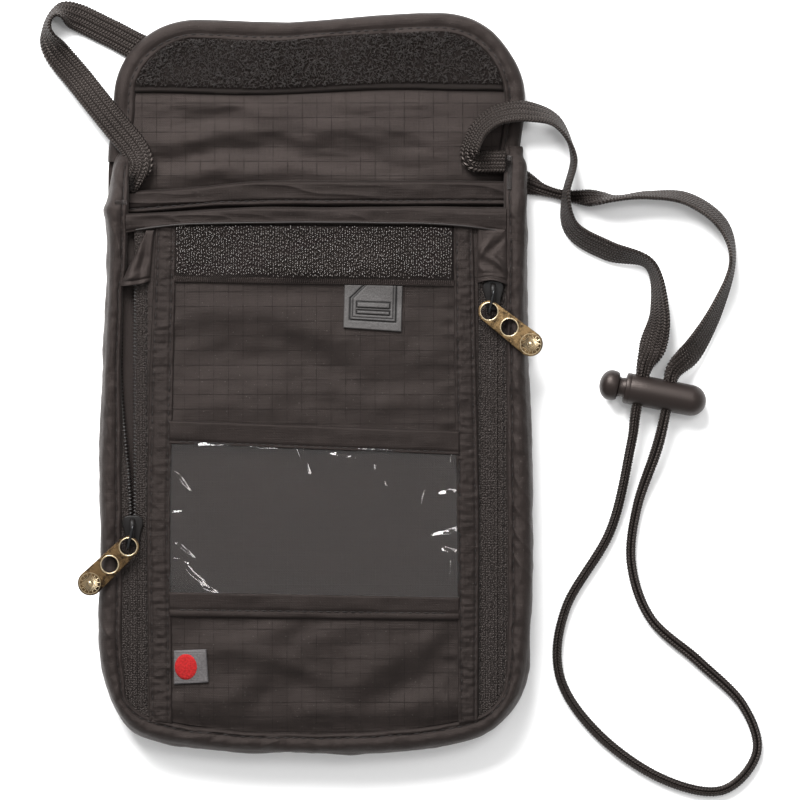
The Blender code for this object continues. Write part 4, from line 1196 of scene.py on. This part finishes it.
def flap_drape(x, y):
    """The flap's free edge runs a little crooked: low left of the middle, high on the right."""
    bend = np.interp(x, [-50, -20, -8, 5, 20, 34, 52, 58, 64], [0, -1.0, -1.0, 0, 1.2, 1.9, 1.9, 1.5, 0.2])
    return y + bend * step(112, 142, y)


def flap_shift(y):
    """The opened flap lies a little to the right."""
    return 1.8 * step(101, 118, y)


def build_back():
    """The back and the flap's outside, one sheet that lies on the ground."""
    low_rows = -90.0 + 8 * np.linspace(0, 1, 24) ** 1.8
    high_rows = 119.6 + 26 * (1 - (1 - np.linspace(0, 1, 34)) ** 1.8)
    u, v = lattice(np.linspace(-1, 1, 90), np.concatenate([low_rows, np.linspace(-81, 119, 150), high_rows]))
    x = u * (body_half(v) - 0.4 - 0.9 * hump(-80, -56, v, 6)) + flap_shift(v)
    z = 0.75 + 1.75 * step(80, 93, v) + 0.15 * field(x / 12, v / 9, 91) * step(-92, -86, v)
    z = z + 0.35 * step(104, 112, v) * field(x / 14, v / 9, 92)
    z = np.maximum(z, 0.62)
    top = grid_of(x, flap_drape(x, v), z)
    made = shell("back_and_flap_ripstop", top, 0.5, RIPSTOP, None)
    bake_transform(made)
    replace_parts(made, "back_panel", "flap_shell")


LINING_FOLDS = (
    (-30, 107.8, 4, 24, 4.0, 1.5), (-26, 95.8, 2, 30, 4.0, 1.7), (-31, 113.0, 17, 15, 3.4, -0.6),
    (-46, 103.5, -38, 8, 3.2, 0.7), (-22, 116.0, -9, 18, 3.0, 0.6), (-30, 102.0, 5, 20, 3.4, -0.6),
    (6, 103.0, -4, 18, 4.5, -0.5), (10, 110.5, 5, 18, 4.5, 0.9), (34, 109.5, -9, 20, 4.4, 1.2),
    (43, 101.0, -6, 15, 3.4, 1.2), (38, 95.5, 2, 24, 3.5, 1.0), (22, 117.0, 6, 22, 3.6, 0.5),
)


def build_lining():
    """The main compartment's lining, which runs on over the fold and becomes the flap's lining."""
    vs = np.concatenate([np.linspace(-85, 78, 40), np.linspace(79, 128, 190), np.linspace(128.6, 141.5, 14)])
    u, v = lattice(np.linspace(-1, 1, 190), vs)
    half = np.where(v < 96, body_half(v) - 4.6, np.minimum(body_half(v) - 4.2, 62.5))
    x = u * half + flap_shift(v)
    deep = 1.6 + 0.2 * field(x / 15, v / 15, 95)
    z = deep + (3.7 - deep) * step(84, 92, v)
    side = np.clip(1 - np.abs(u) ** 8, 0, 1)
    wave = step(84, 91, v) * (1 - step(117, 123, v)) * side
    bend = v + 0.9 * np.sin(x / 15) + 0.5 * field(x / 9, v / 9, 94)
    folds = ridges(x, bend, LINING_FOLDS)
    soft = 0.4 * field(x / 17, v / 6, 96) + 0.3 * field((x + v) / 8, v / 4.5, 97)
    soft = soft + 0.12 * field(x / 6, v / 1.7, 98)
    z = z + wave * (0.5 + folds + soft)
    z = np.maximum(z, 1.35 + 1.75 * step(90, 96, v))
    top = grid_of(x, flap_drape(x, v), z)
    made = shell("flap_and_pocket_lining", top, 0.4, FLAP_CLOTH, None)
    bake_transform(made)
    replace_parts(made, "back_lining", "flap_lining")


def flap_outline(inset):
    """The flap's plan outline, from its lower right end round to its lower left."""
    a = np.radians(np.linspace(0, 90, 60))
    right = np.vstack([
        np.column_stack([np.full(20, FLAP_HALF - inset), np.linspace(99.6, CORNER_Y, 20)]),
        np.column_stack([38.3 + (28 - inset) * np.cos(a), CORNER_Y + (26 - inset) * np.sin(a)])[1:],
        np.column_stack([np.linspace(38.3, 0, 20), np.full(20, 145.8 - inset)])[1:],
    ])
    return np.vstack([right, right[::-1][1:] * [-1, 1]])


def build_flap_binding():
    """The rolled binding round the flap, with its stitched seam."""
    wide = 6.6
    outer, inner = flap_outline(0.0), flap_outline(wide)
    run = run_of(outer)
    at = np.linspace(0, run[-1], 560)
    outer, inner = pick(outer, run, at), pick(inner, run, at)
    normal = smoothed(sideways(outer), 10)
    knots = [
        (-0.06, 0, 3.6), (0.0, 0, 4.3), (0.1, 0, 4.85), (0.22, 0, 4.75), (0.32, 0, 4.6), (0.5, 0, 4.95),
        (0.72, 0, 4.9), (0.9, 0, 4.3), (0.99, 0, 3.4), (1.0, 0.1, 2.7), (0.97, 0, 2.0), (0.85, 0, 1.75),
        (0.6, 0, 1.8),
    ]
    w, extra, z = spline(knots, 5).T
    s = at[:, None]
    lane = np.arange(len(w))[None, :] / len(w)
    face = hump(0.05, 0.6, lane, 0.1)
    wander = 0.7 * field(s / 21, s * 0, 101) * np.clip(1 - lane * 2.5, 0, 1)
    edge_wave = 0.45 * field(s / 30, s * 0, 102)
    xy = inner[:, None] + (outer - inner)[:, None] * w[None, :, None]
    xy = xy + normal[:, None] * (extra[None, :] + wander + edge_wave * step(0.2, 0.6, lane))[..., None]
    height = z[None, :] + face * (0.3 * field(s / 8, lane * 4, 103) + 0.14 * field(s / 3, lane * 6, 104))
    top = np.concatenate([xy, height[..., None]], axis=2)
    top[..., 0] += flap_shift(top[..., 1])
    top[..., 1] = flap_drape(top[..., 0], top[..., 1])
    uv = profile_uv(s, np.diff(w) * wide, np.diff(z))
    made = shell("flap_rolled_binding", top, 0.4, BINDING, "flap", uv=uv, flip=True)
    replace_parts(made, "flap_binding")
    rows = stitches(top[8:-8, int(len(w) * 0.3)] + [0, 0, 0.02], 2.8, 2.0, 0.18)
    merged("flap_binding_stitches", rows, THREAD, "flap")


def build_loop_strip():
    """Loop tape along the flap's free edge, with a ribbed selvedge and a pile of small curls."""
    top_y, curl_level = 139.9, 4.75

    def low_at(u):
        return 121.9 + 0.5 * u + 0.35 * np.sin(u * 5)

    def spot(u, v):
        y = low_at(u) + (top_y - low_at(u)) * v
        return u * corner_half(y - CORNER_Y, 20.0, 38.3, 21.9) + flap_shift(y), y

    u, v = lattice(np.linspace(-1, 1, 150), np.linspace(0, 1, 44))
    x, y = spot(u, v)
    gone = y - low_at(u)
    away = np.minimum(gone, (1 - np.abs(u)) * 60)
    z = 3.95 + 0.75 * edge_round(away, 0.8) + 0.25 * field(x / 18, y / 9, 111) - 0.3 * bell(gone - 1.9, 0.4)
    z = z + 0.12 * np.sin(TAU * x / 0.8) * (1 - step(1.2, 1.8, gone)) * edge_round(away, 0.8)
    made = shell("loop_tape_base", grid_of(x, flap_drape(x, y), z), 0.6, TAPE_BASE, "flap")
    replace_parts(made, "flap_loop_strip")
    rng = random.Random(11)
    curls = []
    a = np.linspace(-0.3, math.pi + 0.3, 5)
    for _ in range(5200):
        x, y = (float(k) for k in spot(rng.uniform(-0.99, 0.99), rng.uniform(0.13, 0.985)))
        turn, reach = rng.uniform(0, TAU), rng.uniform(0.45, 0.95)
        out, up = -reach * np.cos(a) / 1.6, rng.uniform(0.3, 0.75) * np.sin(a)
        curl = bristle(x, float(flap_drape(x, y)), curl_level, turn, out, up)
        curls.append(tube(curl, rng.uniform(0.09, 0.14), 3))
    # The curls take the lighter pile colour, which paints their glints.
    merged("loop_pile_painted_glint", curls, LOOP_PAINTED_GLINT, "flap")


def build_pockets():
    """The divider and the zipped pocket's backing, and the two folded hems at the pouch's mouth."""
    for name, level, high, node, seed in (
        ("divider_cloth", 6.6, 86.0, "pocket_divider", 121),
        ("zip_pocket_cloth", 11.2, 80.0, "zip_pocket_backing", 123),
    ):
        u, v = lattice(np.linspace(-1, 1, 60), np.linspace(-84, high, 80))
        x = u * (body_half(v) - 4.8)
        z = level + 0.25 * field(x / 14, v / 12, seed)
        made = shell(name, grid_of(x, v, z), 0.4, LINING, "pouch")
        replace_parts(made, node)

    vs = spaced(44, 0.5)
    u, v = lattice(np.linspace(0, 1, 320), vs)
    hems = (
        ("divider_folded_hem", "divider_hem", (-60.6, 61.6), 8.6, 6.4, 131, 0.2, 0.25),
        ("front_folded_hem", "front_hem", (-60.0, 61.9), 15.4, 13.6, 133, 0.1, 0.4),
    )
    for name, node, ends, crown, foot, seed, seam_at, rough in hems:
        x = ends[0] + (ends[1] - ends[0]) * u
        if node == "divider_hem":
            low = 83.0 + 2.4 * step(-60, -18, x)
            high = 90.0 + 3.3 * step(-62, -10, x)
        else:
            low = 79.3 - 3.2 * (np.abs(x) / 61) ** 4
            high = 82.8 + 1.9 * step(-60, -14, x)
        low = low + 0.25 * field(x / 13, x * 0, seed)
        high = high + 0.35 * field(x / 17, x * 0, seed + 5)
        y = low + (high - low) * v
        tall = high - low
        round_top = edge_round((1 - v) * tall, 1.3)
        round_low = edge_round(v * tall, 0.9)
        z = foot + (crown - foot) * round_top * (0.55 + 0.45 * round_low)
        wrinkle = rough * field(x / 14, y / 4, seed + 1) + 0.16 * field(x / 4, y / 3, seed + 2)
        wrinkle = wrinkle + 0.35 * (crease((x + 2 * y) / 16, y / 3, seed + 3) - 0.3)
        z = z + wrinkle * round_top * np.sin(math.pi * np.clip(v, 0.05, 0.95))
        z = z - 0.4 * bell((v - seam_at) * tall, 0.45)
        if node == "front_hem":
            z = z + 1.35 * bell((v - 0.05) * tall, 0.55) * step(0.02, 0.1, u) * (1 - step(0.9, 0.98, u))
        surface = grid_of(x, y, z)
        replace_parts(shell(name, surface, 0.7, HEM, "pouch"), node)
        if node == "divider_hem":
            seam = surface[4:-4, int(np.argmin(np.abs(vs - seam_at)))] + [0, 0, 0.02]
        else:
            edge = surface[8:-8, int(np.argmin(np.abs(vs - 0.07)))] + [0, 0, 0.1]
            # The rolled edge takes the lighter edge colour, a painted highlight along the hem's lower edge.
            merged("front_hem_rolled_edge", [tube(edge, 0.29, 8)], HEM_EDGE_PAINTED_HIGHLIGHT, "pouch")
    merged("hem_stitches", stitches(seam, 2.6, 1.8, 0.15), THREAD, "pouch")


build_back()
build_rim()
build_lining()
build_flap_binding()
build_loop_strip()
build_pockets()


# ---------------------------------------------------------------- zips

ZIP_X = 57.8
LEFT_BAR, RIGHT_BAR = -18.4, 57.0
ZIP_TAPE_LOW, ZIP_TAPE_HIGH = -77, 78.5
COIL_LOW, COIL_HIGH = -72, 63
CHAIN_LOW, CHAIN_LEVEL = -77.5, 14.55
TAPE_LEVEL, COIL_LEVEL, STITCH_LEVEL = 14.35, 13.9, 14.6


def tape(name, low_x, high_x, y0, y1, level=TAPE_LEVEL, node=None, body="pouch", edge=None, sink=None):
    """A strip of zip tape. edge(y) moves its near side in x and sink(y) lowers it, as where the zip is open."""
    u, v = lattice(np.linspace(0, 1, 18), np.linspace(0, 1, int((y1 - y0) / 0.5)))
    y = y0 + (y1 - y0) * v
    x = low_x + (high_x - low_x) * u
    uv = grid_of(x, y)
    if edge is not None:
        x = x + edge(y) * u
    limit = body_half(y) - 3.6
    x = np.clip(x, -limit, limit)
    z = level + 0.05 * np.cos(TAU * x / 1.25) + 0.14 * field(x / 5, y / 8, 141)
    if sink is not None:
        z = z - sink(y) * u
    made = shell(name, grid_of(x, y, z), 0.35, TAPE_KNIT_PAINTED_GLINT, body, uv=uv, sharp=None)
    if node:
        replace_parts(made, node)
    return made


def coil(name, x, y0, y1, side, node=None, body="pouch", edge=None, sink=None):
    """One row of zip coil: a flattened helix along the tape's edge."""
    pitch = 1.15
    turns = (y1 - y0) / pitch
    t = np.linspace(0, turns * TAU, int(turns * 9))
    y = y0 + (y1 - y0) * t / t[-1]
    px = x + side * (0.65 + 0.62 * np.cos(t))
    pz = COIL_LEVEL + 0.34 * np.sin(t)
    if edge is not None:
        px, pz = px + edge(y), pz - sink(y)
    path = np.column_stack([px, y + 0.18 * np.sin(t), pz])
    made = merged(name, [tube(path, 0.24, 5)], COIL, body)
    if node:
        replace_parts(made, node)
    return made


def left_open(y):
    """How far the left zip's outer half is pulled away from its inner half."""
    return -3.3 * step(-16, 34, y)


def left_sink(y):
    """How far that half drops below the inner half."""
    return 1.5 * step(-10, 30, y)


def build_left_outer(c):
    """The left zip's outer half: joined below its slider and pulled open above it."""
    low_y, high_y, meet = -73.5, 66.0, -22.0
    far, near, chain = c - 5.4, c - 0.5, 1.5
    loose = {"body": None, "edge": left_open, "sink": left_sink}
    closed = [
        tape("left_outer_tape_knit", far, near, ZIP_TAPE_LOW, meet, node="left_zip_outer_tape", body=None),
        coil("left_outer_coil_row", c - 0.15, COIL_LOW, meet, -1, "left_zip_outer_coil", body=None),
        tape("left_closed_chain", c - chain, c + chain, CHAIN_LOW, meet, CHAIN_LEVEL, body=None),
    ]
    opened = [
        tape("left_open_tape_knit", far, near, meet, high_y, 14.2, **loose),
        coil("left_open_coil_row", c - 0.15, meet, COIL_HIGH, -1, **loose),
    ]
    for group, end in ((closed, low_y), (opened, high_y)):
        for piece in group:
            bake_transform(piece)


def build_right_outer(c):
    """The right zip's outer half, and the joined part below its slider."""
    tape("right_outer_tape_knit", c + 0.5, c + 5.4, ZIP_TAPE_LOW, ZIP_TAPE_HIGH, node="right_zip_outer_tape")
    coil("right_outer_coil_row", c + 0.15, COIL_LOW, COIL_HIGH, 1, "right_zip_outer_coil")
    chain = tape("right_closed_chain", c - 1.5, c + 1.5, CHAIN_LOW, RIGHT_BAR - 3.5, CHAIN_LEVEL)
    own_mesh(chain)


def build_zips():
    """Both zips: tapes, coils, the joined part below each slider, stitching and bottom stops."""
    for side, name, build_outer in ((-1, "left", build_left_outer), (1, "right", build_right_outer)):
        c = side * ZIP_X
        low_x, high_x = sorted((c - side * 0.5, c - side * 5.2))
        tape(f"{name}_inner_tape_knit", low_x, high_x, -79, ZIP_TAPE_HIGH, node=f"{name}_zip_inner_tape")
        coil(f"{name}_inner_coil_row", c - side * 0.15, COIL_LOW, COIL_HIGH, -side, f"{name}_zip_inner_coil")
        build_outer(c)
        rows = []
        ys = np.linspace(-76, 76, 120)
        for x in (c - side * 4.3,) if side < 0 else (c - side * 4.3, c + side * 3.2):
            rows += stitches(straight(x, ys, STITCH_LEVEL), 2.4, 1.6, 0.14)
        merged(f"{name}_tape_stitches", rows, THREAD, "pouch")
        wires = [np.array([(x, -74.6, 13.4), (x, -73.4, 13.7), (x, -72.2, 13.4)]) for x in (c - 0.9, c + 0.9)]
        made = merged(f"{name}_bottom_clamp", [tube(wire, 0.4, 8) for wire in wires], GUN, "pouch")
        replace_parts(made, f"{name}_zip_bottom_stop")


def build_garage(name, corners, folds, seed, bulge, mouth):
    """A flap of cloth over the top of a zip, open at its lower end."""
    us, vs = spaced(80, 0.4), spaced(110, 0.4)
    x, y = quad_grid(corners, us, vs)
    u, v = lattice(us, vs)
    round_off = edge_round(np.minimum(np.minimum(u, 1 - u) * 9, (1 - v) * 16), 1.6)
    z = 14.7 + round_off * (0.8 + bulge * np.sin(math.pi * u) * bell(v, 0.22) + ridges(x, y, folds))
    z = z + round_off * (0.2 * field(x / 3.5, y / 5, seed) + 0.08 * field(x / 1.5, y / 2, seed + 1))
    z = z - 0.5 * bell(v * 17 - 1.2, 0.5) * round_off
    y = y + mouth * np.sin(math.pi * u) * (1 - v) ** 3
    made = shell(name, grid_of(x, y, z), 0.5, GARAGE, "pouch")
    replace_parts(made, name.replace("_cloth", ""))


def build_garages():
    left = [(-62.0, 59.4), (-52.3, 60.8), (-50.8, 77.6), (-53.4, 77.4)]
    left_folds = (
        (-57.0, 66.0, 68, 9, 1.3, 0.7), (-54.4, 68.0, 80, 9, 1.1, -0.5), (-58.6, 62.2, 25, 3.5, 1.0, 0.5),
    )
    right = [(52.7, 60.4), (62.6, 59.6), (61.9, 77.6), (52.6, 78.6)]
    right_folds = (
        (57.5, 67.5, -32, 5.5, 1.4, 0.9), (55.0, 71.5, 58, 4.0, 1.1, 0.8), (59.5, 73.0, 50, 4.0, 1.1, -0.6),
        (60.0, 66.0, -55, 4.0, 1.0, 0.6), (54.2, 64.5, -30, 3.0, 1.0, 0.5),
        (57.0, 62.6, -8, 4.0, 0.9, -0.4),
    )
    build_garage("left_zip_garage_cloth", left, left_folds, 151, 1.4, -0.4)
    build_garage("right_zip_garage_cloth", right, right_folds, 155, 1.6, 1.2)


# ---------------------------------------------------------------- sliders, links and pulls

BAR_Z = 16.85
LEAN = math.radians(13.0)


def rounded_plate(outline, low, high, edge):
    """(points, faces) of a plate with rounded edges from a closed plan outline."""
    p = np.asarray(outline, float)
    t = unit(around(p))
    inward = np.column_stack([-t[:, 1], t[:, 0]])
    a = np.linspace(0, math.pi / 2, 4)
    upper = [(edge * (1 - math.sin(k)), high - edge + edge * math.cos(k)) for k in a]
    lower = [(edge * (1 - math.sin(k)), low + edge - edge * math.cos(k)) for k in a[::-1]]
    rows = [np.column_stack([p + inward * inset, np.full(len(p), z)]) for inset, z in upper + lower]
    return np.vstack(rows), capped_faces(len(rows), len(p))


def build_slider(name, x, y):
    """A coil slider: two plates with flared shoulders, and the bridge."""
    right = [(0.0, 4.2), (1.5, 4.15), (2.7, 3.6), (3.35, 2.3), (3.3, 1.0), (2.75, -0.8), (2.35, -2.8)]
    half = resample(spline(right + [(2.25, -4.6), (1.9, -5.4), (0.0, -5.6)], 8), 36)
    outline = np.vstack([half, half[::-1][1:-1] * [-1, 1]])[::-1]
    a = np.linspace(0, math.pi, 22)
    arch = np.column_stack([np.zeros(22), 3.3 * np.cos(a) - 0.4, 15.3 + 2.15 * np.sin(a) ** 0.8])
    parts = [rounded_plate(outline, 14.65, 15.5, 0.4), rounded_plate(outline, 11.9, 12.6, 0.3)]
    parts.append(tube(arch, 0.85, 12, squash=0.55))
    moved = [(points + [x, y, 0], faces) for points, faces in parts]
    made = tidy_normals(merged(f"{name}_slider_casting", moved, PAINT, None), 45)
    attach(made, f"{name}_slider")
    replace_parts(made, f"{name}_slider")


def build_link(name, x, y):
    """A wire loop from the slider's bridge to the pull's end hole."""
    ends = ((0, np.linspace(-90, 90, 14)), (-5.6, np.linspace(90, 270, 14)))
    loop = [(at + math.cos(math.radians(a)), math.sin(math.radians(a))) for at, turns in ends for a in turns]
    p = resample(loop, 72, closed=True)[:-1]
    route = np.column_stack([p[:, 0] * math.sin(LEAN) + x, p[:, 0] * math.cos(LEAN) + y, p[:, 1] + BAR_Z])
    ring = tube(route, 0.44, 10, closed=True)
    made = tidy_normals(merged(f"{name}_link_ring", [ring], GUN, None), 60)
    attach(made, f"{name}_link")
    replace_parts(made, f"{name}_pull_link")


def circle(at, radius, count, z):
    """Points round a hole or a disc of the pull, in its own plane."""
    ring = np.arange(count) * TAU / count
    return np.column_stack([at + radius * np.cos(ring), radius * np.sin(ring), np.full(count, z)])


def build_pull(name, x, y, turn):
    """A tapered tab with two rimmed holes and a ringed disc of raised rays at its far end."""
    holes, end, disc_at = (0.0, 8.2), 16.8, 16.9
    hole = np.array([x - 6.0 * math.sin(LEAN), y - 6.0 * math.cos(LEAN), BAR_Z])
    taper = math.asin(0.5 / end)
    a = np.linspace(math.pi / 2 + taper, 3 * math.pi / 2 - taper, 26)
    b = np.linspace(taper - math.pi / 2, math.pi / 2 - taper, 30)
    outline = [(3.5 * math.cos(k), 3.5 * math.sin(k)) for k in a]
    outline += [(end + 4.0 * math.cos(k), 4.0 * math.sin(k)) for k in b]
    points, faces = rounded_plate(resample(outline, 150, closed=True)[:-1], -0.45, 0.38, 0.2)
    plate = tidy_normals(add_object(f"{name}_pull_plate", mesh_of(f"{name}_pull_plate", points, faces)))
    for at in holes:
        drill(plate, circle(at, 2.75, 40, 0), np.array([0, 0, 2]))
    plate.data.materials.clear()
    plate.data.materials.append(BRASS_DARK if name == "left" else BRASS)
    verts = np.array([v.co[:] for v in plate.data.vertices]) / MM
    plate.data.vertices.foreach_set("co", ((turned(verts, turn) + hole) * MM).ravel())
    plate.data.update()
    plate.data.shade_smooth()
    plate.data.set_sharp_from_angle(angle=math.radians(30))
    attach(plate, f"{name}_pull")
    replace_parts(plate, f"{name}_pull_tab")
    rims = []
    for at, high in zip(holes, (0.26, 0.28)):
        for z, lift in ((high, 0.9), (-0.32, 0.6)):
            rims.append(tube(circle(at, 2.85, 48, z), 0.24, 8, squash=lift, closed=True))
    rings = ((3.35, 0.12), (1.0, 0.14))
    disc = [tube(circle(disc_at, radius, 48, 0.4), wire, 6, closed=True) for radius, wire in rings]
    for k in range(28):
        t, reach = TAU * k / 28, 3.15 if k % 2 else 2.5
        along = np.linspace(1.25, reach, 4)
        ray = np.column_stack([disc_at + along * math.cos(t), along * math.sin(t), np.full(4, 0.4)])
        disc.append(tube(ray, 0.12, 5))
    bead, bead_faces = lathe_points([(0.0, 0.75), (0.12, 0.7), (0.22, 0.5), (0.3, 0.02)], 20)
    disc.append((np.column_stack([bead[:, 1] + disc_at, bead[:, 2], bead[:, 0] + 0.34]), bead_faces))
    for label, group in (("rims", rims), ("disc", disc)):
        moved = [(turned(points, turn) + hole, faces) for points, faces in group]
        made = tidy_normals(merged(f"{name}_pull_{label}", moved, BRASS_RIM, None), 50)
        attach(made, f"{name}_pull")


build_zips()
build_garages()
for zip_name, zip_side, zip_bar, zip_turn in (("left", -1, LEFT_BAR, -136.4), ("right", 1, RIGHT_BAR, -38.1)):
    build_slider(zip_name, zip_side * ZIP_X, zip_bar)
    build_link(zip_name, zip_side * ZIP_X, zip_bar)
    build_pull(zip_name, zip_side * ZIP_X, zip_bar, math.radians(zip_turn))


# ---------------------------------------------------------------- strap anchors


def build_anchors():
    """Zigzag bartacks through the strap's sewn ends, over the CAD's anchor tabs."""
    for name, x, y0, y1, z in (("left", -58.4, 90.6, 95.6, 10.0), ("right", 62.5, 90.0, 100.5, 9.6)):
        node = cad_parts[f"{name}_strap_anchor"]
        node.data.materials.clear()
        node.data.materials.append(BINDING)
        ys = np.linspace(y0, y1, int((y1 - y0) / 0.22))
        path = zigzag(straight(x, ys, z), 0.9)
        made = merged(f"{name}_bartack", [tube(path, 0.17, 5)], THREAD, "pouch")
        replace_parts(made, f"{name}_strap_anchor")


build_anchors()
